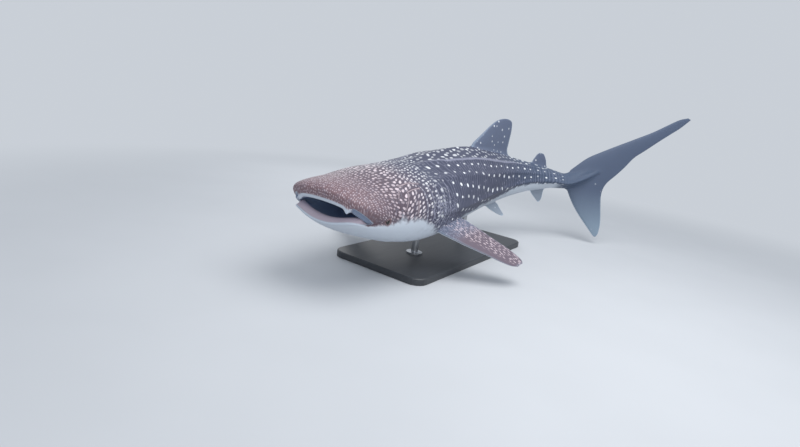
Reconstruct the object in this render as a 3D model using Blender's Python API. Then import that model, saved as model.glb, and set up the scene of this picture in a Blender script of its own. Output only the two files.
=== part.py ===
# Whale shark as a still, life-size display model on a plain stand.
# Metres, +Z up. The nose points to -X, the tail to +X, and the shark's left side faces -Y.
# Places on the body are shares of BODY: s runs back from the nose along the bent centreline,
# left runs out to the shark's left side, and up is the height over the centreline.
import math

import bmesh
import bpy
import numpy as np

BODY = 5.5            # total length, nose to the upper tip of the tail fin, the unit of every share
GAP = 0.0003          # kept between neighbours that meet face to face

# The swimming bend: the heading of the centreline, in radians, a cubic in s between two ends.
BEND_FROM = 0.15
BEND_TO = 0.78
BEND_CUBIC = (0.426, -0.403, -4.749)

# Sections behind the head: s, top, bottom, half width, height of the widest line,
# squareness of the upper half and of the lower half (2 is an ellipse).
BODY_SECTIONS = (
    (0.105, 0.0395, -0.0680, 0.0820, -0.0150, 2.20, 2.45),
    (0.150, 0.0435, -0.0750, 0.0840, -0.0140, 2.15, 2.45),
    (0.200, 0.0495, -0.0780, 0.0830, -0.0120, 2.10, 2.40),
    (0.250, 0.0580, -0.0740, 0.0790, -0.0090, 2.00, 2.35),
    (0.300, 0.0650, -0.0680, 0.0735, -0.0050, 1.95, 2.30),
    (0.370, 0.0705, -0.0620, 0.0665, 0.0010, 1.90, 2.25),
    (0.450, 0.0695, -0.0540, 0.0570, 0.0070, 1.90, 2.20),
    (0.530, 0.0615, -0.0435, 0.0470, 0.0100, 1.90, 2.15),
    (0.600, 0.0510, -0.0310, 0.0385, 0.0115, 1.90, 2.10),
    (0.660, 0.0430, -0.0190, 0.0315, 0.0120, 1.90, 2.05),
    (0.715, 0.0352, -0.0095, 0.0260, 0.0125, 1.90, 2.00),
    (0.762, 0.0305, -0.0040, 0.0215, 0.0125, 1.90, 2.00),
    (0.800, 0.0520, 0.0080, 0.0100, 0.0290, 2.00, 2.00),
    (0.850, 0.0760, 0.0500, 0.0015, 0.0630, 2.00, 2.00),
)
HEAD_END = 0.105      # the head and the lower jaw meet the gill region
GILLS_END = 0.224     # the gill region meets the torso
TORSO_END = 0.600     # the torso meets the tail
TAIL_END = 0.762      # the tail meets the tail fin
TONGUE_END = 0.850    # the taper of the tail inside the tail fin

# The gape: in plan each lip is a superellipse from the front of the mouth to its corners.
MOUTH_CORNER = (0.0291, 0.0597, -0.0229)
UPPER_SQUARENESS = 3.2
UPPER_LIP_UP = -0.0017
UPPER_LIP_SWEEP = 0.755
LOWER_SQUARENESS = 3.8
LOWER_LIP_FRONT = 0.0015
LOWER_LIP_UP = -0.0302
LOWER_LIP_LIFT = 0.0100
SNOUT_BLUNTNESS = 0.43    # below 1 the surface swells at once behind the lip: snout, sides, chin
SIDE_BLUNTNESS = 0.53
CHIN_BLUNTNESS = 0.65
SNOUT_HOLD = 1.15         # above 1 the snout keeps its breadth longer on the way back
SNOUT_OVERHANG = 0.0145   # the snout's swell over the upper lip
OVERHANG_DEPTH = 0.50     # as a share of the way from the lip to HEAD_END
OVERHANG_PEAK = 0.70      # below 1 the swell is greatest near the lip
OVERHANG_FADE = 0.38      # how fast the swell dies toward the corners of the mouth
THROAT = (0.088, 0.0430, -0.0160, 0.0180)    # end of the mouth's hollow: s, half width, up, half height
THROAT_SWEEP = 1.3        # above 1 the mouth keeps its breadth before it narrows to the throat
# Rings inside the mouth: share of the way to the throat, and how far each opens up and down.
LIP_STEPS = ((0.05, 0.0000), (0.12, 0.0012), (0.22, 0.0040), (0.42, 0.0060), (0.70, 0.0040), (1.0, 0.0))
HEAD_RINGS = 13
HEAD_RING_CROWD = 1.7     # above 1 the head's rings crowd toward the lips
# The parting of head and jaw, s and up: level through the open mouth, then back along the cheeks.
MOUTH_LEVEL = -0.0140
CHEEK_LINE = ((0.05, -0.0290), (0.075, -0.0330), (0.120, -0.0350))
CUT_FRONT = -0.03
CUT_REACH = 0.12

# Lengthwise ridges: height and the angle from the back at the start, middle and end.
RIDGE_STATIONS = (0.20, 0.42, 0.70)
RIDGES = (
    (0.0022, (15, 42, 36)),
    (0.0026, (46, 68, 64)),
    (0.0030, (92, 104, 94)),
)
RIDGE_WIDTH = 5.0         # degrees to each side
RIDGE_FOOT = 1.3          # a ridge's foot, in widths from its crest
BELLY_POINTS = 9          # ring points from the lowest ridge to the middle of the belly
RIDGE_RISE = (0.10, 0.20)
RIDGE_FALL = (0.60, 0.72)
BACK_RIDGE = 0.0020
BACK_WIDTH = 5.0
BACK_RISE = (0.03, 0.18)
BACK_FALL = (0.60, 0.76)
KEEL = 0.0075             # the lowest ridge grows into the keel beside the tail fin's root
KEEL_WIDTH = 14.0
KEEL_RISE = (0.65, 0.74)
KEEL_FALL = (0.78, 0.84)

GILL_SLITS = (0.135, 0.152, 0.168, 0.184, 0.199)
GILL_TOP = 50             # degrees from the back
GILL_LOW = 112
GILL_RAISE = 0.0016
GILL_SINK = 0.0022
GILL_TOP_FADE = (-7, 7)
GILL_LOW_FADE = (-9, 6)
GILL_STEP = 0.0005        # lengthwise run of the step at each slit
GILL_FRONT = 0.030        # the first flap starts this far before its slit
GILL_REAR = 0.025         # the last slit's hollow ends this far behind it
GILL_FIRST_RING = 0.120
GILL_LAST_RING = 0.215

EYE = (0.0536, 0.0735, -0.0194)
EYE_RADIUS = 0.0220       # metres
EYE_SINK = 0.55           # the centre lies this share of the radius under the surface
SPIRACLE = (0.0747, 0.0786, -0.0157)
SPIRACLE_RADII = (0.010, 0.012, 0.015)
NOSTRIL = (0.0060, 0.0449, -0.0050)
NOSTRIL_RADII = (0.016, 0.026, 0.010)
BALL_RINGS = 12
BALL_SEGMENTS = 18

# A fin's section along its chord, full height 1, and the least half thickness at its edges.
FOIL = (1.4845, -0.63, -1.758, 1.4215, -0.5075)
FIN_EDGE = 0.0003
FIN_STEPS = 11            # points along one face of a fin
FIN_RINGS = {"tail": 27, "first_dorsal": 12, "pectoral": 14, "small": 8}

# Fins in the middle plane: rows from root to tip of leading s, leading up, trailing s,
# trailing up and half thickness.
FIRST_DORSAL = (
    (0.3980, 0.0560, 0.5660, 0.0440, 0.0085),
    (0.4080, 0.0680, 0.5800, 0.0545, 0.0080),
    (0.4250, 0.0815, 0.5670, 0.0680, 0.0066),
    (0.4440, 0.0925, 0.5670, 0.0820, 0.0055),
    (0.4648, 0.1055, 0.5680, 0.0955, 0.0044),
    (0.4860, 0.1190, 0.5690, 0.1090, 0.0034),
    (0.5080, 0.1300, 0.5680, 0.1215, 0.0024),
    (0.5300, 0.1352, 0.5655, 0.1295, 0.0016),
    (0.5480, 0.1362, 0.5600, 0.1335, 0.0007),
)
SECOND_DORSAL = (
    (0.6420, 0.0300, 0.6960, 0.0270, 0.0045),
    (0.6490, 0.0400, 0.7050, 0.0360, 0.0038),
    (0.6560, 0.0490, 0.6985, 0.0455, 0.0030),
    (0.6620, 0.0585, 0.6955, 0.0545, 0.0023),
    (0.6680, 0.0670, 0.6905, 0.0630, 0.0015),
    (0.6750, 0.0710, 0.6850, 0.0695, 0.0007),
)
ANAL = (
    (0.6520, -0.0060, 0.6980, 0.0000, 0.0038),
    (0.6600, -0.0140, 0.7075, -0.0100, 0.0032),
    (0.6690, -0.0225, 0.7045, -0.0200, 0.0025),
    (0.6790, -0.0315, 0.7045, -0.0290, 0.0018),
    (0.6890, -0.0400, 0.7035, -0.0375, 0.0011),
    (0.6955, -0.0455, 0.7000, -0.0445, 0.0006),
)
TAIL_FIN = (
    (0.8520, -0.1122, 0.8560, -0.1114, 0.0006),
    (0.8462, -0.1078, 0.8592, -0.1040, 0.0011),
    (0.8390, -0.1005, 0.8598, -0.0940, 0.0016),
    (0.8230, -0.0840, 0.8595, -0.0800, 0.0026),
    (0.8030, -0.0630, 0.8560, -0.0600, 0.0038),
    (0.7830, -0.0380, 0.8505, -0.0360, 0.0050),
    (0.7660, -0.0110, 0.8460, -0.0130, 0.0062),
    (0.7540, 0.0110, 0.8460, 0.0050, 0.0070),
    (0.7590, 0.0340, 0.8500, 0.0180, 0.0068),
    (0.7740, 0.0520, 0.8560, 0.0280, 0.0064),
    (0.7960, 0.0740, 0.8680, 0.0430, 0.0056),
    (0.8250, 0.0930, 0.8830, 0.0640, 0.0048),
    (0.8600, 0.1140, 0.8990, 0.0895, 0.0040),
    (0.8950, 0.1345, 0.9200, 0.1100, 0.0032),
    (0.9260, 0.1530, 0.9430, 0.1330, 0.0025),
    (0.9540, 0.1730, 0.9640, 0.1530, 0.0018),
    (0.9760, 0.1880, 0.9830, 0.1710, 0.0012),
    (0.9930, 0.1945, 1.0000, 0.1915, 0.0006),
)
# Paired fins lie on planes of their own: root corner (s, left, up), droop below level and
# pitch of the rear edge in degrees, and rows of out, leading back, trailing back, half thickness.
PECTORAL_ROOT = (0.1900, 0.0770, -0.0520)
PECTORAL_TILT = (29, 10)
PECTORAL = (
    (-0.0300, -0.0240, 0.0660, 0.0062),
    (-0.0100, -0.0080, 0.0765, 0.0060),
    (0.0060, 0.0040, 0.0840, 0.0056),
    (0.0240, 0.0160, 0.0905, 0.0050),
    (0.0420, 0.0280, 0.0960, 0.0043),
    (0.0600, 0.0410, 0.1025, 0.0036),
    (0.0770, 0.0530, 0.1085, 0.0029),
    (0.0930, 0.0640, 0.1125, 0.0021),
    (0.1070, 0.0765, 0.1130, 0.0013),
    (0.1140, 0.0890, 0.1080, 0.0006),
)
PELVIC_ROOT = (0.4720, 0.0250, -0.0460)
PELVIC_TILT = (50, 4)
PELVIC = (
    (-0.0120, -0.0080, 0.0440, 0.0034),
    (-0.0020, 0.0000, 0.0530, 0.0030),
    (0.0070, 0.0110, 0.0540, 0.0024),
    (0.0160, 0.0240, 0.0560, 0.0018),
    (0.0240, 0.0370, 0.0580, 0.0012),
    (0.0285, 0.0480, 0.0570, 0.0006),
)

TORSO_RINGS = 15
TAIL_RINGS = 10
TONGUE_RINGS = 9
TONGUE_LEAD = 0.02        # the tongue starts this far before the end of the tail
CUT_LEAD = 0.06           # and the block that squares it off this far

# The stand, in metres: its floor lies this far under the centreline.
FLOOR_DOWN = 0.720
BASE_SIZE = (2.30, 1.00, 0.060)
BASE_CORNER = 0.12
BASE_CORNER_STEPS = 6
BASE_CHAMFER = 0.008
BASE_S = 0.350
ROD_RADIUS = 0.034
ROD_FOOT = (0.080, 0.014)
ROD_FOOT_SLOPE = 0.004
ROD_SIDES = 24
ROD_PLACES = (("stand_rod_front", 0.255), ("stand_rod_rear", 0.440))

PALE = (0.74, 0.76, 0.76, 1)
BACK_GREY = (0.13, 0.14, 0.17, 1)
FIN_GREY = (0.10, 0.11, 0.14, 1)
EYE_DARK = (0.012, 0.012, 0.014, 1)
STAND_DARK = (0.035, 0.037, 0.040, 1)
ROD_STEEL = (0.42, 0.43, 0.44, 1)


def table_curve(table, column, stations=None):
    """A smooth curve through one column of a table, over its first column or over stations."""
    x = np.array([row[0] for row in table] if stations is None else stations, float)
    y = np.array([row[column] for row in table], float)
    slope = np.gradient(y, x)

    def curve(s):
        s = np.clip(s, x[0], x[-1])
        i = np.clip(np.searchsorted(x, s, side="right") - 1, 0, len(x) - 2)
        width = x[i + 1] - x[i]
        t = (s - x[i]) / width
        return (
            (2 * t**3 - 3 * t**2 + 1) * y[i]
            + (t**3 - 2 * t**2 + t) * width * slope[i]
            + (3 * t**2 - 2 * t**3) * y[i + 1]
            + (t**3 - t**2) * width * slope[i + 1]
        )

    return curve


TOP, BOTTOM, HALF_WIDTH, WIDEST_UP, SQUARE_UP, SQUARE_DOWN = (
    table_curve(BODY_SECTIONS, column) for column in range(1, 7)
)


def heading(s):
    u = np.clip(s, BEND_FROM, BEND_TO) - BEND_FROM
    a, b, c = BEND_CUBIC
    return a * u + b * u**2 + c * u**3


TRACK = np.linspace(0, 1.2, 2401)
TRACK_TURN = heading((TRACK[1:] + TRACK[:-1]) / 2)
TRACK_X = np.concatenate([[0], np.cumsum(np.cos(TRACK_TURN) * np.diff(TRACK))])
TRACK_Y = np.concatenate([[0], np.cumsum(np.sin(TRACK_TURN) * np.diff(TRACK))])


def place(s, left, up):
    """World points, in metres, of places on the body."""
    s, left, up = np.broadcast_arrays(np.asarray(s, float), left, up)
    turn = heading(s)
    x = np.interp(s, TRACK, TRACK_X) + np.minimum(s, 0) + left * np.sin(turn)
    y = np.interp(s, TRACK, TRACK_Y) - left * np.cos(turn)
    return BODY * np.stack([x, y, up], -1)


def power(value, exponent):
    return np.sign(value) * np.abs(value) ** exponent


def ease(value, start, end):
    """0 before start, 1 after end, smooth between."""
    t = np.clip((value - start) / (end - start), 0, 1)
    return t * t * (3 - 2 * t)


def ridge_angle(path, s):
    return table_curve(np.array(path, float)[:, None], 0, RIDGE_STATIONS)(s)


def ring_angles(s):
    """Angles from the back, in degrees, of one half ring, with points on each ridge's foot and crest."""
    foot = RIDGE_FOOT * RIDGE_WIDTH
    half = [0.0]
    for _, path in RIDGES:
        crest = float(ridge_angle(path, s))
        half += [(half[-1] + crest - foot) / 2, crest - foot, crest, crest + foot]
    half = np.concatenate([half, np.linspace(half[-1], 180, BELLY_POINTS)[1:]])
    half[np.argmin(np.abs(half - 90))] = 90
    return half


def full_ring(half):
    """Both sides of a ring: up the left side is positive, and the angle runs once round."""
    return np.concatenate([half, -half[-2:0:-1]])


def ridge_relief(s, angle):
    """How far the ridges and the keel raise the surface."""
    away = np.abs(angle)
    strength = ease(s, *RIDGE_RISE) * (1 - ease(s, *RIDGE_FALL))
    back = BACK_RIDGE * ease(s, *BACK_RISE) * (1 - ease(s, *BACK_FALL))
    relief = back * np.exp(-((away / BACK_WIDTH) ** 2))
    for height, path in RIDGES:
        relief = relief + height * strength * np.exp(-(((away - ridge_angle(path, s)) / RIDGE_WIDTH) ** 2))
    keel = KEEL * ease(s, *KEEL_RISE) * (1 - ease(s, *KEEL_FALL))
    lowest = ridge_angle(RIDGES[-1][1], s)
    return relief + keel * np.exp(-(((away - lowest) / KEEL_WIDTH) ** 2))


def gill_relief(s, angle):
    """Each gill flap rises toward its rear edge and drops there into the slit."""
    away = np.abs(angle)
    top = ease(away - GILL_TOP, *GILL_TOP_FADE)
    window = top * (1 - ease(away - GILL_LOW, *GILL_LOW_FADE))
    edges = np.array((GILL_SLITS[0] - GILL_FRONT,) + GILL_SLITS + (GILL_SLITS[-1] + GILL_REAR,))
    span = np.clip(np.searchsorted(edges, s, side="right") - 1, 0, len(edges) - 2)
    share = np.clip((s - edges[span]) / (edges[span + 1] - edges[span]), 0, 1)
    start = np.where(span == 0, 0.0, -GILL_SINK)
    end = np.where(span == len(edges) - 2, 0.0, GILL_RAISE)
    inside = (s > edges[0]) & (s < edges[-1])
    return np.where(inside, window * (start + (end - start) * share), 0.0)


def section(s, angle, relief=True):
    """Left and up of the surface at s, at an angle from the back."""
    a = np.radians(angle)
    above = np.abs(angle) <= 90
    square = np.where(above, SQUARE_UP(s), SQUARE_DOWN(s))
    reach = np.where(above, TOP(s) - WIDEST_UP(s), WIDEST_UP(s) - BOTTOM(s))
    left = HALF_WIDTH(s) * power(np.sin(a), 2 / square)
    rise = reach * power(np.cos(a), 2 / square)
    if relief:
        size = np.hypot(left, rise)
        grow = 1 + (ridge_relief(s, angle) + gill_relief(s, angle)) / size
        left = left * grow
        rise = rise * grow
    return left, WIDEST_UP(s) + rise


def lip(angle):
    """The edge of the mouth: s, left and up at an angle from the back."""
    a = np.radians(angle)
    corner_s, corner_left, corner_up = MOUTH_CORNER
    above = np.abs(angle) <= 90
    square = np.where(above, UPPER_SQUARENESS, LOWER_SQUARENESS)
    out = np.abs(np.sin(a)) ** (2 / square)
    back = 1 - np.abs(np.cos(a)) ** (2 / square)
    front = np.where(above, 0.0, LOWER_LIP_FRONT)
    upper_up = UPPER_LIP_UP + (corner_up - UPPER_LIP_UP) * back**UPPER_LIP_SWEEP
    lift = (corner_up - LOWER_LIP_UP) + LOWER_LIP_LIFT * (1 - out**4)
    lower_up = LOWER_LIP_UP + lift * out**2
    left = corner_left * np.sign(np.sin(a)) * out
    return front + (corner_s - front) * back, left, np.where(above, upper_up, lower_up)


def head_ring(share, angle):
    """The head's outer surface, from the lips at 0 to the ring at HEAD_END at 1."""
    a = np.radians(angle)
    lip_s, lip_left, lip_up = lip(angle)
    left, up = section(HEAD_END, angle)
    rise = share ** np.where(np.abs(angle) <= 90, SNOUT_BLUNTNESS, CHIN_BLUNTNESS)
    swell = SNOUT_OVERHANG * math.sin(math.pi * min(share / OVERHANG_DEPTH, 1) ** OVERHANG_PEAK)
    swell = swell * np.clip(np.cos(a), 0, 1) ** OVERHANG_FADE
    hold = share ** np.where(np.abs(angle) <= 90, SNOUT_HOLD, 1.0)
    turn = 2 - 2 / UPPER_SQUARENESS
    forward = np.clip(np.cos(a), 0, 1) ** turn
    outward = power(np.sin(a), turn)
    length = np.hypot(forward, outward)
    return (
        lip_s + (HEAD_END - lip_s) * hold - swell * forward / length,
        lip_left + (left - lip_left) * share**SIDE_BLUNTNESS + swell * outward / length,
        lip_up + (up - lip_up) * rise,
    )


def mouth_ring(share, open_by, angle):
    """The inside of the mouth, from the lips at 0 to the throat at 1."""
    a = np.radians(angle)
    lip_s, lip_left, lip_up = lip(angle)
    throat_s, throat_left, throat_up, throat_reach = THROAT
    left = throat_left * np.sin(a)
    up = throat_up + throat_reach * np.cos(a)
    return (
        lip_s + (throat_s - lip_s) * share,
        lip_left + (left - lip_left) * share**THROAT_SWEEP,
        lip_up + (up - lip_up) * share + open_by * np.cos(a),
    )


def material(name, colour, roughness, metallic=0.0):
    made = bpy.data.materials.new(name)
    made.use_nodes = True
    shader = made.node_tree.nodes["Principled BSDF"]
    shader.inputs["Base Color"].default_value = colour
    shader.inputs["Roughness"].default_value = roughness
    shader.inputs["Metallic"].default_value = metallic
    made.diffuse_color = colour
    return made


def mesh_object(name, points, faces):
    mesh = bpy.data.meshes.new(name)
    mesh.from_pydata([tuple(point) for point in points], [], faces)
    shape = bmesh.new()
    shape.from_mesh(mesh)
    bmesh.ops.recalc_face_normals(shape, faces=shape.faces)
    shape.to_mesh(mesh)
    shape.free()
    mesh.shade_smooth()
    made = bpy.data.objects.new(name, mesh)
    bpy.context.scene.collection.objects.link(made)
    return made


def loft(name, rings):
    """A closed skin over rings of equal count, with a fan over each end."""
    count = len(rings[0])
    points = np.concatenate(list(rings) + [[rings[0].mean(0)], [rings[-1].mean(0)]])
    faces = []
    for r in range(len(rings) - 1):
        for i in range(count):
            j = (i + 1) % count
            a, b = r * count + i, r * count + j
            faces.append((a, b, b + count))
            faces.append((a, b + count, a + count))
    first, last = len(points) - 2, len(points) - 1
    end = (len(rings) - 1) * count
    for i in range(count):
        j = (i + 1) % count
        faces.append((first, j, i))
        faces.append((last, end + i, end + j))
    return mesh_object(name, points, faces)


def combine(thing, other, operation, solver="EXACT"):
    """Cuts or joins by another object, which is then removed."""
    change = thing.modifiers.new(operation.lower(), "BOOLEAN")
    change.operation = operation
    change.solver = solver
    change.object = other
    bpy.context.view_layer.objects.active = thing
    bpy.ops.object.modifier_apply(modifier=change.name)
    bpy.data.objects.remove(other)


def copy_of(thing, name):
    twin = thing.copy()
    twin.data = thing.data.copy()
    twin.name = name
    bpy.context.scene.collection.objects.link(twin)
    return twin


def swollen(thing, name, by):
    """A copy pushed out along its normals, to cut a neighbour with a gap."""
    twin = copy_of(thing, name)
    shape = bmesh.new()
    shape.from_mesh(twin.data)
    shape.normal_update()
    moves = [vertex.normal * by * vertex.calc_shell_factor() for vertex in shape.verts]
    for vertex, move in zip(shape.verts, moves):
        vertex.co += move
    shape.to_mesh(twin.data)
    shape.free()
    return twin


def closed_parts(thing):
    """The vertex sets of a mesh's separate surfaces, largest first by volume."""
    shape = bmesh.new()
    shape.from_mesh(thing.data)
    shape.verts.ensure_lookup_table()
    left = set(range(len(shape.verts)))
    parts = []
    while left:
        front = [left.pop()]
        found = set(front)
        while front:
            for edge in shape.verts[front.pop()].link_edges:
                for vertex in edge.verts:
                    if vertex.index in left:
                        left.discard(vertex.index)
                        found.add(vertex.index)
                        front.append(vertex.index)
        box = np.array([shape.verts[i].co for i in found])
        parts.append((float(np.prod(np.ptp(box, axis=0))), found, box.mean(0)))
    shape.free()
    return sorted(parts, key=lambda part: -part[0])


def keep_vertices(thing, kept):
    shape = bmesh.new()
    shape.from_mesh(thing.data)
    loose = [vertex for vertex in shape.verts if vertex.index not in kept]
    bmesh.ops.delete(shape, geom=loose, context="VERTS")
    shape.to_mesh(thing.data)
    shape.free()


def keep_largest(thing):
    keep_vertices(thing, closed_parts(thing)[0][1])


def body_ring(s):
    angle = full_ring(ring_angles(s))
    left, up = section(s, angle)
    return place(s, left, up)


def between(start, end, count):
    """Ring stations of one length of the body, held half a gap off both ends."""
    hold = GAP / 2 / BODY
    return np.linspace(start + hold, end - hold, count)


def gill_stations():
    """Ring stations of the gill region, two at each slit."""
    hold = GAP / 2 / BODY
    stations = [HEAD_END + hold, GILL_FIRST_RING]
    for slit, following in zip(GILL_SLITS, GILL_SLITS[1:] + (None,)):
        stations += [slit - GILL_STEP / 2, slit + GILL_STEP / 2]
        if following:
            stations.append((slit + following) / 2)
    return np.array(stations + [GILL_LAST_RING, GILLS_END - hold])


def head_rings(end):
    """The rings of the head from its back edge to the lips, then into the mouth."""
    angle = full_ring(ring_angles(HEAD_END))
    shares = np.linspace(1, 0, HEAD_RINGS) ** HEAD_RING_CROWD
    rings = []
    for share in shares:
        s, left, up = head_ring(share, angle)
        s = s - (HEAD_END - end) * share
        rings.append(place(s, left, up))
    return rings, angle


def make_head():
    """Head and lower jaw as one shell round the mouth, parted along the line of the gape."""
    rings, angle = head_rings(HEAD_END - GAP / 2 / BODY)
    for share, open_by in LIP_STEPS:
        rings.append(place(*mouth_ring(share, open_by, angle)))
    shell = loft("head", rings)
    combine(shell, head_hollows(), "DIFFERENCE")
    combine(shell, jaw_cut(), "DIFFERENCE")
    parts = closed_parts(shell)[:2]
    upper, lower = sorted(parts, key=lambda part: -part[2][2])
    jaw = copy_of(shell, "lower_jaw")
    keep_vertices(shell, upper[1])
    keep_vertices(jaw, lower[1])
    return shell, jaw


def jaw_cut():
    """A sheet one gap thick through the open mouth and back along the cheeks."""
    corner_s, _, corner_up = MOUTH_CORNER
    profile = [(CUT_FRONT, MOUTH_LEVEL), (0.0, MOUTH_LEVEL), (corner_s, corner_up), *CHEEK_LINE]
    rows = []
    for s, up in profile:
        for half in (-GAP / 2, GAP / 2):
            for left in (-CUT_REACH, CUT_REACH):
                rows.append(place(s, left, up) + np.array([0, 0, half]))
    faces = [(0, 1, 3, 2)]
    for k in range(len(profile) - 1):
        a, b = 4 * k, 4 * k + 4
        for i, j in ((0, 1), (1, 3), (3, 2), (2, 0)):
            faces.append((a + i, b + i, b + j, a + j))
    end = 4 * (len(profile) - 1)
    faces.append((end + 2, end + 3, end + 1, end))
    return mesh_object("jaw_cut", rows, faces)


def ball(name, centre, radii):
    shape = bmesh.new()
    bmesh.ops.create_uvsphere(shape, u_segments=BALL_SEGMENTS, v_segments=BALL_RINGS, radius=1)
    mesh = bpy.data.meshes.new(name)
    for vertex in shape.verts:
        vertex.co = [c + r * v for c, r, v in zip(centre, radii, vertex.co)]
    shape.to_mesh(mesh)
    shape.free()
    mesh.shade_smooth()
    made = bpy.data.objects.new(name, mesh)
    bpy.context.scene.collection.objects.link(made)
    return made


def eye_centre(side):
    """The eyeball sits mostly inside the head."""
    s, left, up = EYE
    return place(s, side * (left - EYE_SINK * EYE_RADIUS / BODY), up)


def head_hollows():
    """Eye sockets, spiracles and nostrils, in one cutter."""
    hollows = None
    for side in (1, -1):
        s, left, up = SPIRACLE
        spiracle = place(s, side * left, up)
        s, left, up = NOSTRIL
        nostril = place(s, side * left, up)
        socket = EYE_RADIUS + GAP
        for centre, radii in (
            (eye_centre(side), (socket, socket, socket)),
            (spiracle, SPIRACLE_RADII),
            (nostril, NOSTRIL_RADII),
        ):
            hollow = ball("hollow", centre, radii)
            if hollows is None:
                hollows = hollow
            else:
                combine(hollows, hollow, "UNION")
    return hollows


def fin_section(lead, trail, normal, half_thick):
    """One closed ring round a fin: out along one face and back along the other."""
    u = (1 - np.cos(np.linspace(0, math.pi, FIN_STEPS))) / 2
    shape = sum(share * u**exponent for share, exponent in zip(FOIL, (0.5, 1, 2, 3, 4)))
    thick = 2 * half_thick * shape + FIN_EDGE * (1 - shape)
    chord = lead + (trail - lead) * u[:, None]
    face = chord + normal * thick[:, None]
    back = chord[-2:0:-1] - normal * thick[-2:0:-1, None]
    return np.concatenate([face, back])


def fin_rings(rows, to_body, spans):
    """Fin sections between the rows of a table, evenly by row."""
    stations = np.arange(len(rows))
    curves = [table_curve(rows, column, stations) for column in range(len(rows[0]))]
    rings = []
    for v in np.linspace(0, len(rows) - 1, spans):
        lead, trail, half_thick, normal = to_body(*[float(curve(v)) for curve in curves])
        s, left, up = fin_section(lead, trail, normal, half_thick).T
        rings.append(place(s, left, up))
    return rings


def middle_fin(name, rows, spans):
    def to_body(lead_s, lead_up, trail_s, trail_up, half_thick):
        lead = np.array([lead_s, 0, lead_up])
        trail = np.array([trail_s, 0, trail_up])
        return lead, trail, half_thick, np.array([0.0, 1.0, 0.0])

    return loft(name, fin_rings(rows, to_body, spans))


def paired_fin(name, rows, root, tilt, side, spans):
    droop, pitch = np.radians(tilt)
    out = np.array([0, math.cos(droop), -math.sin(droop)])
    back = np.array([math.cos(pitch), 0, math.sin(pitch)])
    back = back - out * (back @ out)
    back = back / np.linalg.norm(back)
    normal = np.cross(out, back)
    mirror = np.array([1, side, 1])

    def to_body(reach, lead_back, trail_back, half_thick):
        lead = np.array(root) + out * reach + back * lead_back
        trail = np.array(root) + out * reach + back * trail_back
        return lead * mirror, trail * mirror, half_thick, normal * mirror

    return loft(name, fin_rings(rows, to_body, spans))


def make_tail_fin():
    """Both lobes, and the root that closes round the end of the tail."""
    fin = middle_fin("caudal_fin", TAIL_FIN, FIN_RINGS["tail"])
    stations = between(TAIL_END - TONGUE_LEAD, TONGUE_END, TONGUE_RINGS)
    tongue = loft("tongue", [body_ring(s) for s in stations])
    combine(fin, tongue, "UNION")
    hold = GAP / 2 / BODY
    front = loft(
        "front_of_tail_fin",
        [square_ring(s) for s in (TAIL_END - CUT_LEAD, TAIL_END + hold)],
    )
    combine(fin, front, "DIFFERENCE")
    keep_largest(fin)
    return fin


def square_ring(s):
    left = np.array([-CUT_REACH, CUT_REACH, CUT_REACH, -CUT_REACH])
    up = np.array([-CUT_REACH, -CUT_REACH, CUT_REACH, CUT_REACH])
    return place(s, left, up)


def slab(name, centre, size, corner, chamfer):
    """A flat plate with round corners in plan and a chamfered upper edge."""
    quarter = np.linspace(0, math.pi / 2, BASE_CORNER_STEPS)
    half_x, half_y = size[0] / 2 - corner, size[1] / 2 - corner
    outline = []
    for turn, (sx, sy) in enumerate(((1, 1), (-1, 1), (-1, -1), (1, -1))):
        for angle in quarter + turn * math.pi / 2:
            outline.append((sx * half_x + corner * math.cos(angle), sy * half_y + corner * math.sin(angle)))
    outline = np.array(outline)
    shrink = 1 - chamfer / np.abs(outline).max(0)
    levels = ((1.0, 0.0), (1.0, size[2] - chamfer), (shrink, size[2]))
    rings = []
    for scale, z in levels:
        flat = outline * scale
        rings.append(np.column_stack([flat + np.array(centre[:2]), np.full(len(flat), centre[2] + z)]))
    return loft(name, rings)


def make_rod(name, s, body_cut):
    """A round rod with a low foot, its top shaped to the belly that it carries."""
    x, y, _ = place(s, 0, 0)
    floor = -FLOOR_DOWN + BASE_SIZE[2] + GAP
    top = BODY * float(WIDEST_UP(s))
    foot_radius, foot_height = ROD_FOOT
    turn = np.linspace(0, 2 * math.pi, ROD_SIDES, endpoint=False)
    rings = []
    for radius, z in (
        (foot_radius, floor),
        (foot_radius, floor + foot_height),
        (ROD_RADIUS, floor + foot_height + ROD_FOOT_SLOPE),
        (ROD_RADIUS, top),
    ):
        level = np.full(ROD_SIDES, z)
        rings.append(np.column_stack([x + radius * np.cos(turn), y + radius * np.sin(turn), level]))
    rod = loft(name, rings)
    combine(rod, copy_of(body_cut, "body_cut_copy"), "DIFFERENCE")
    keep_largest(rod)
    return rod


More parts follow.
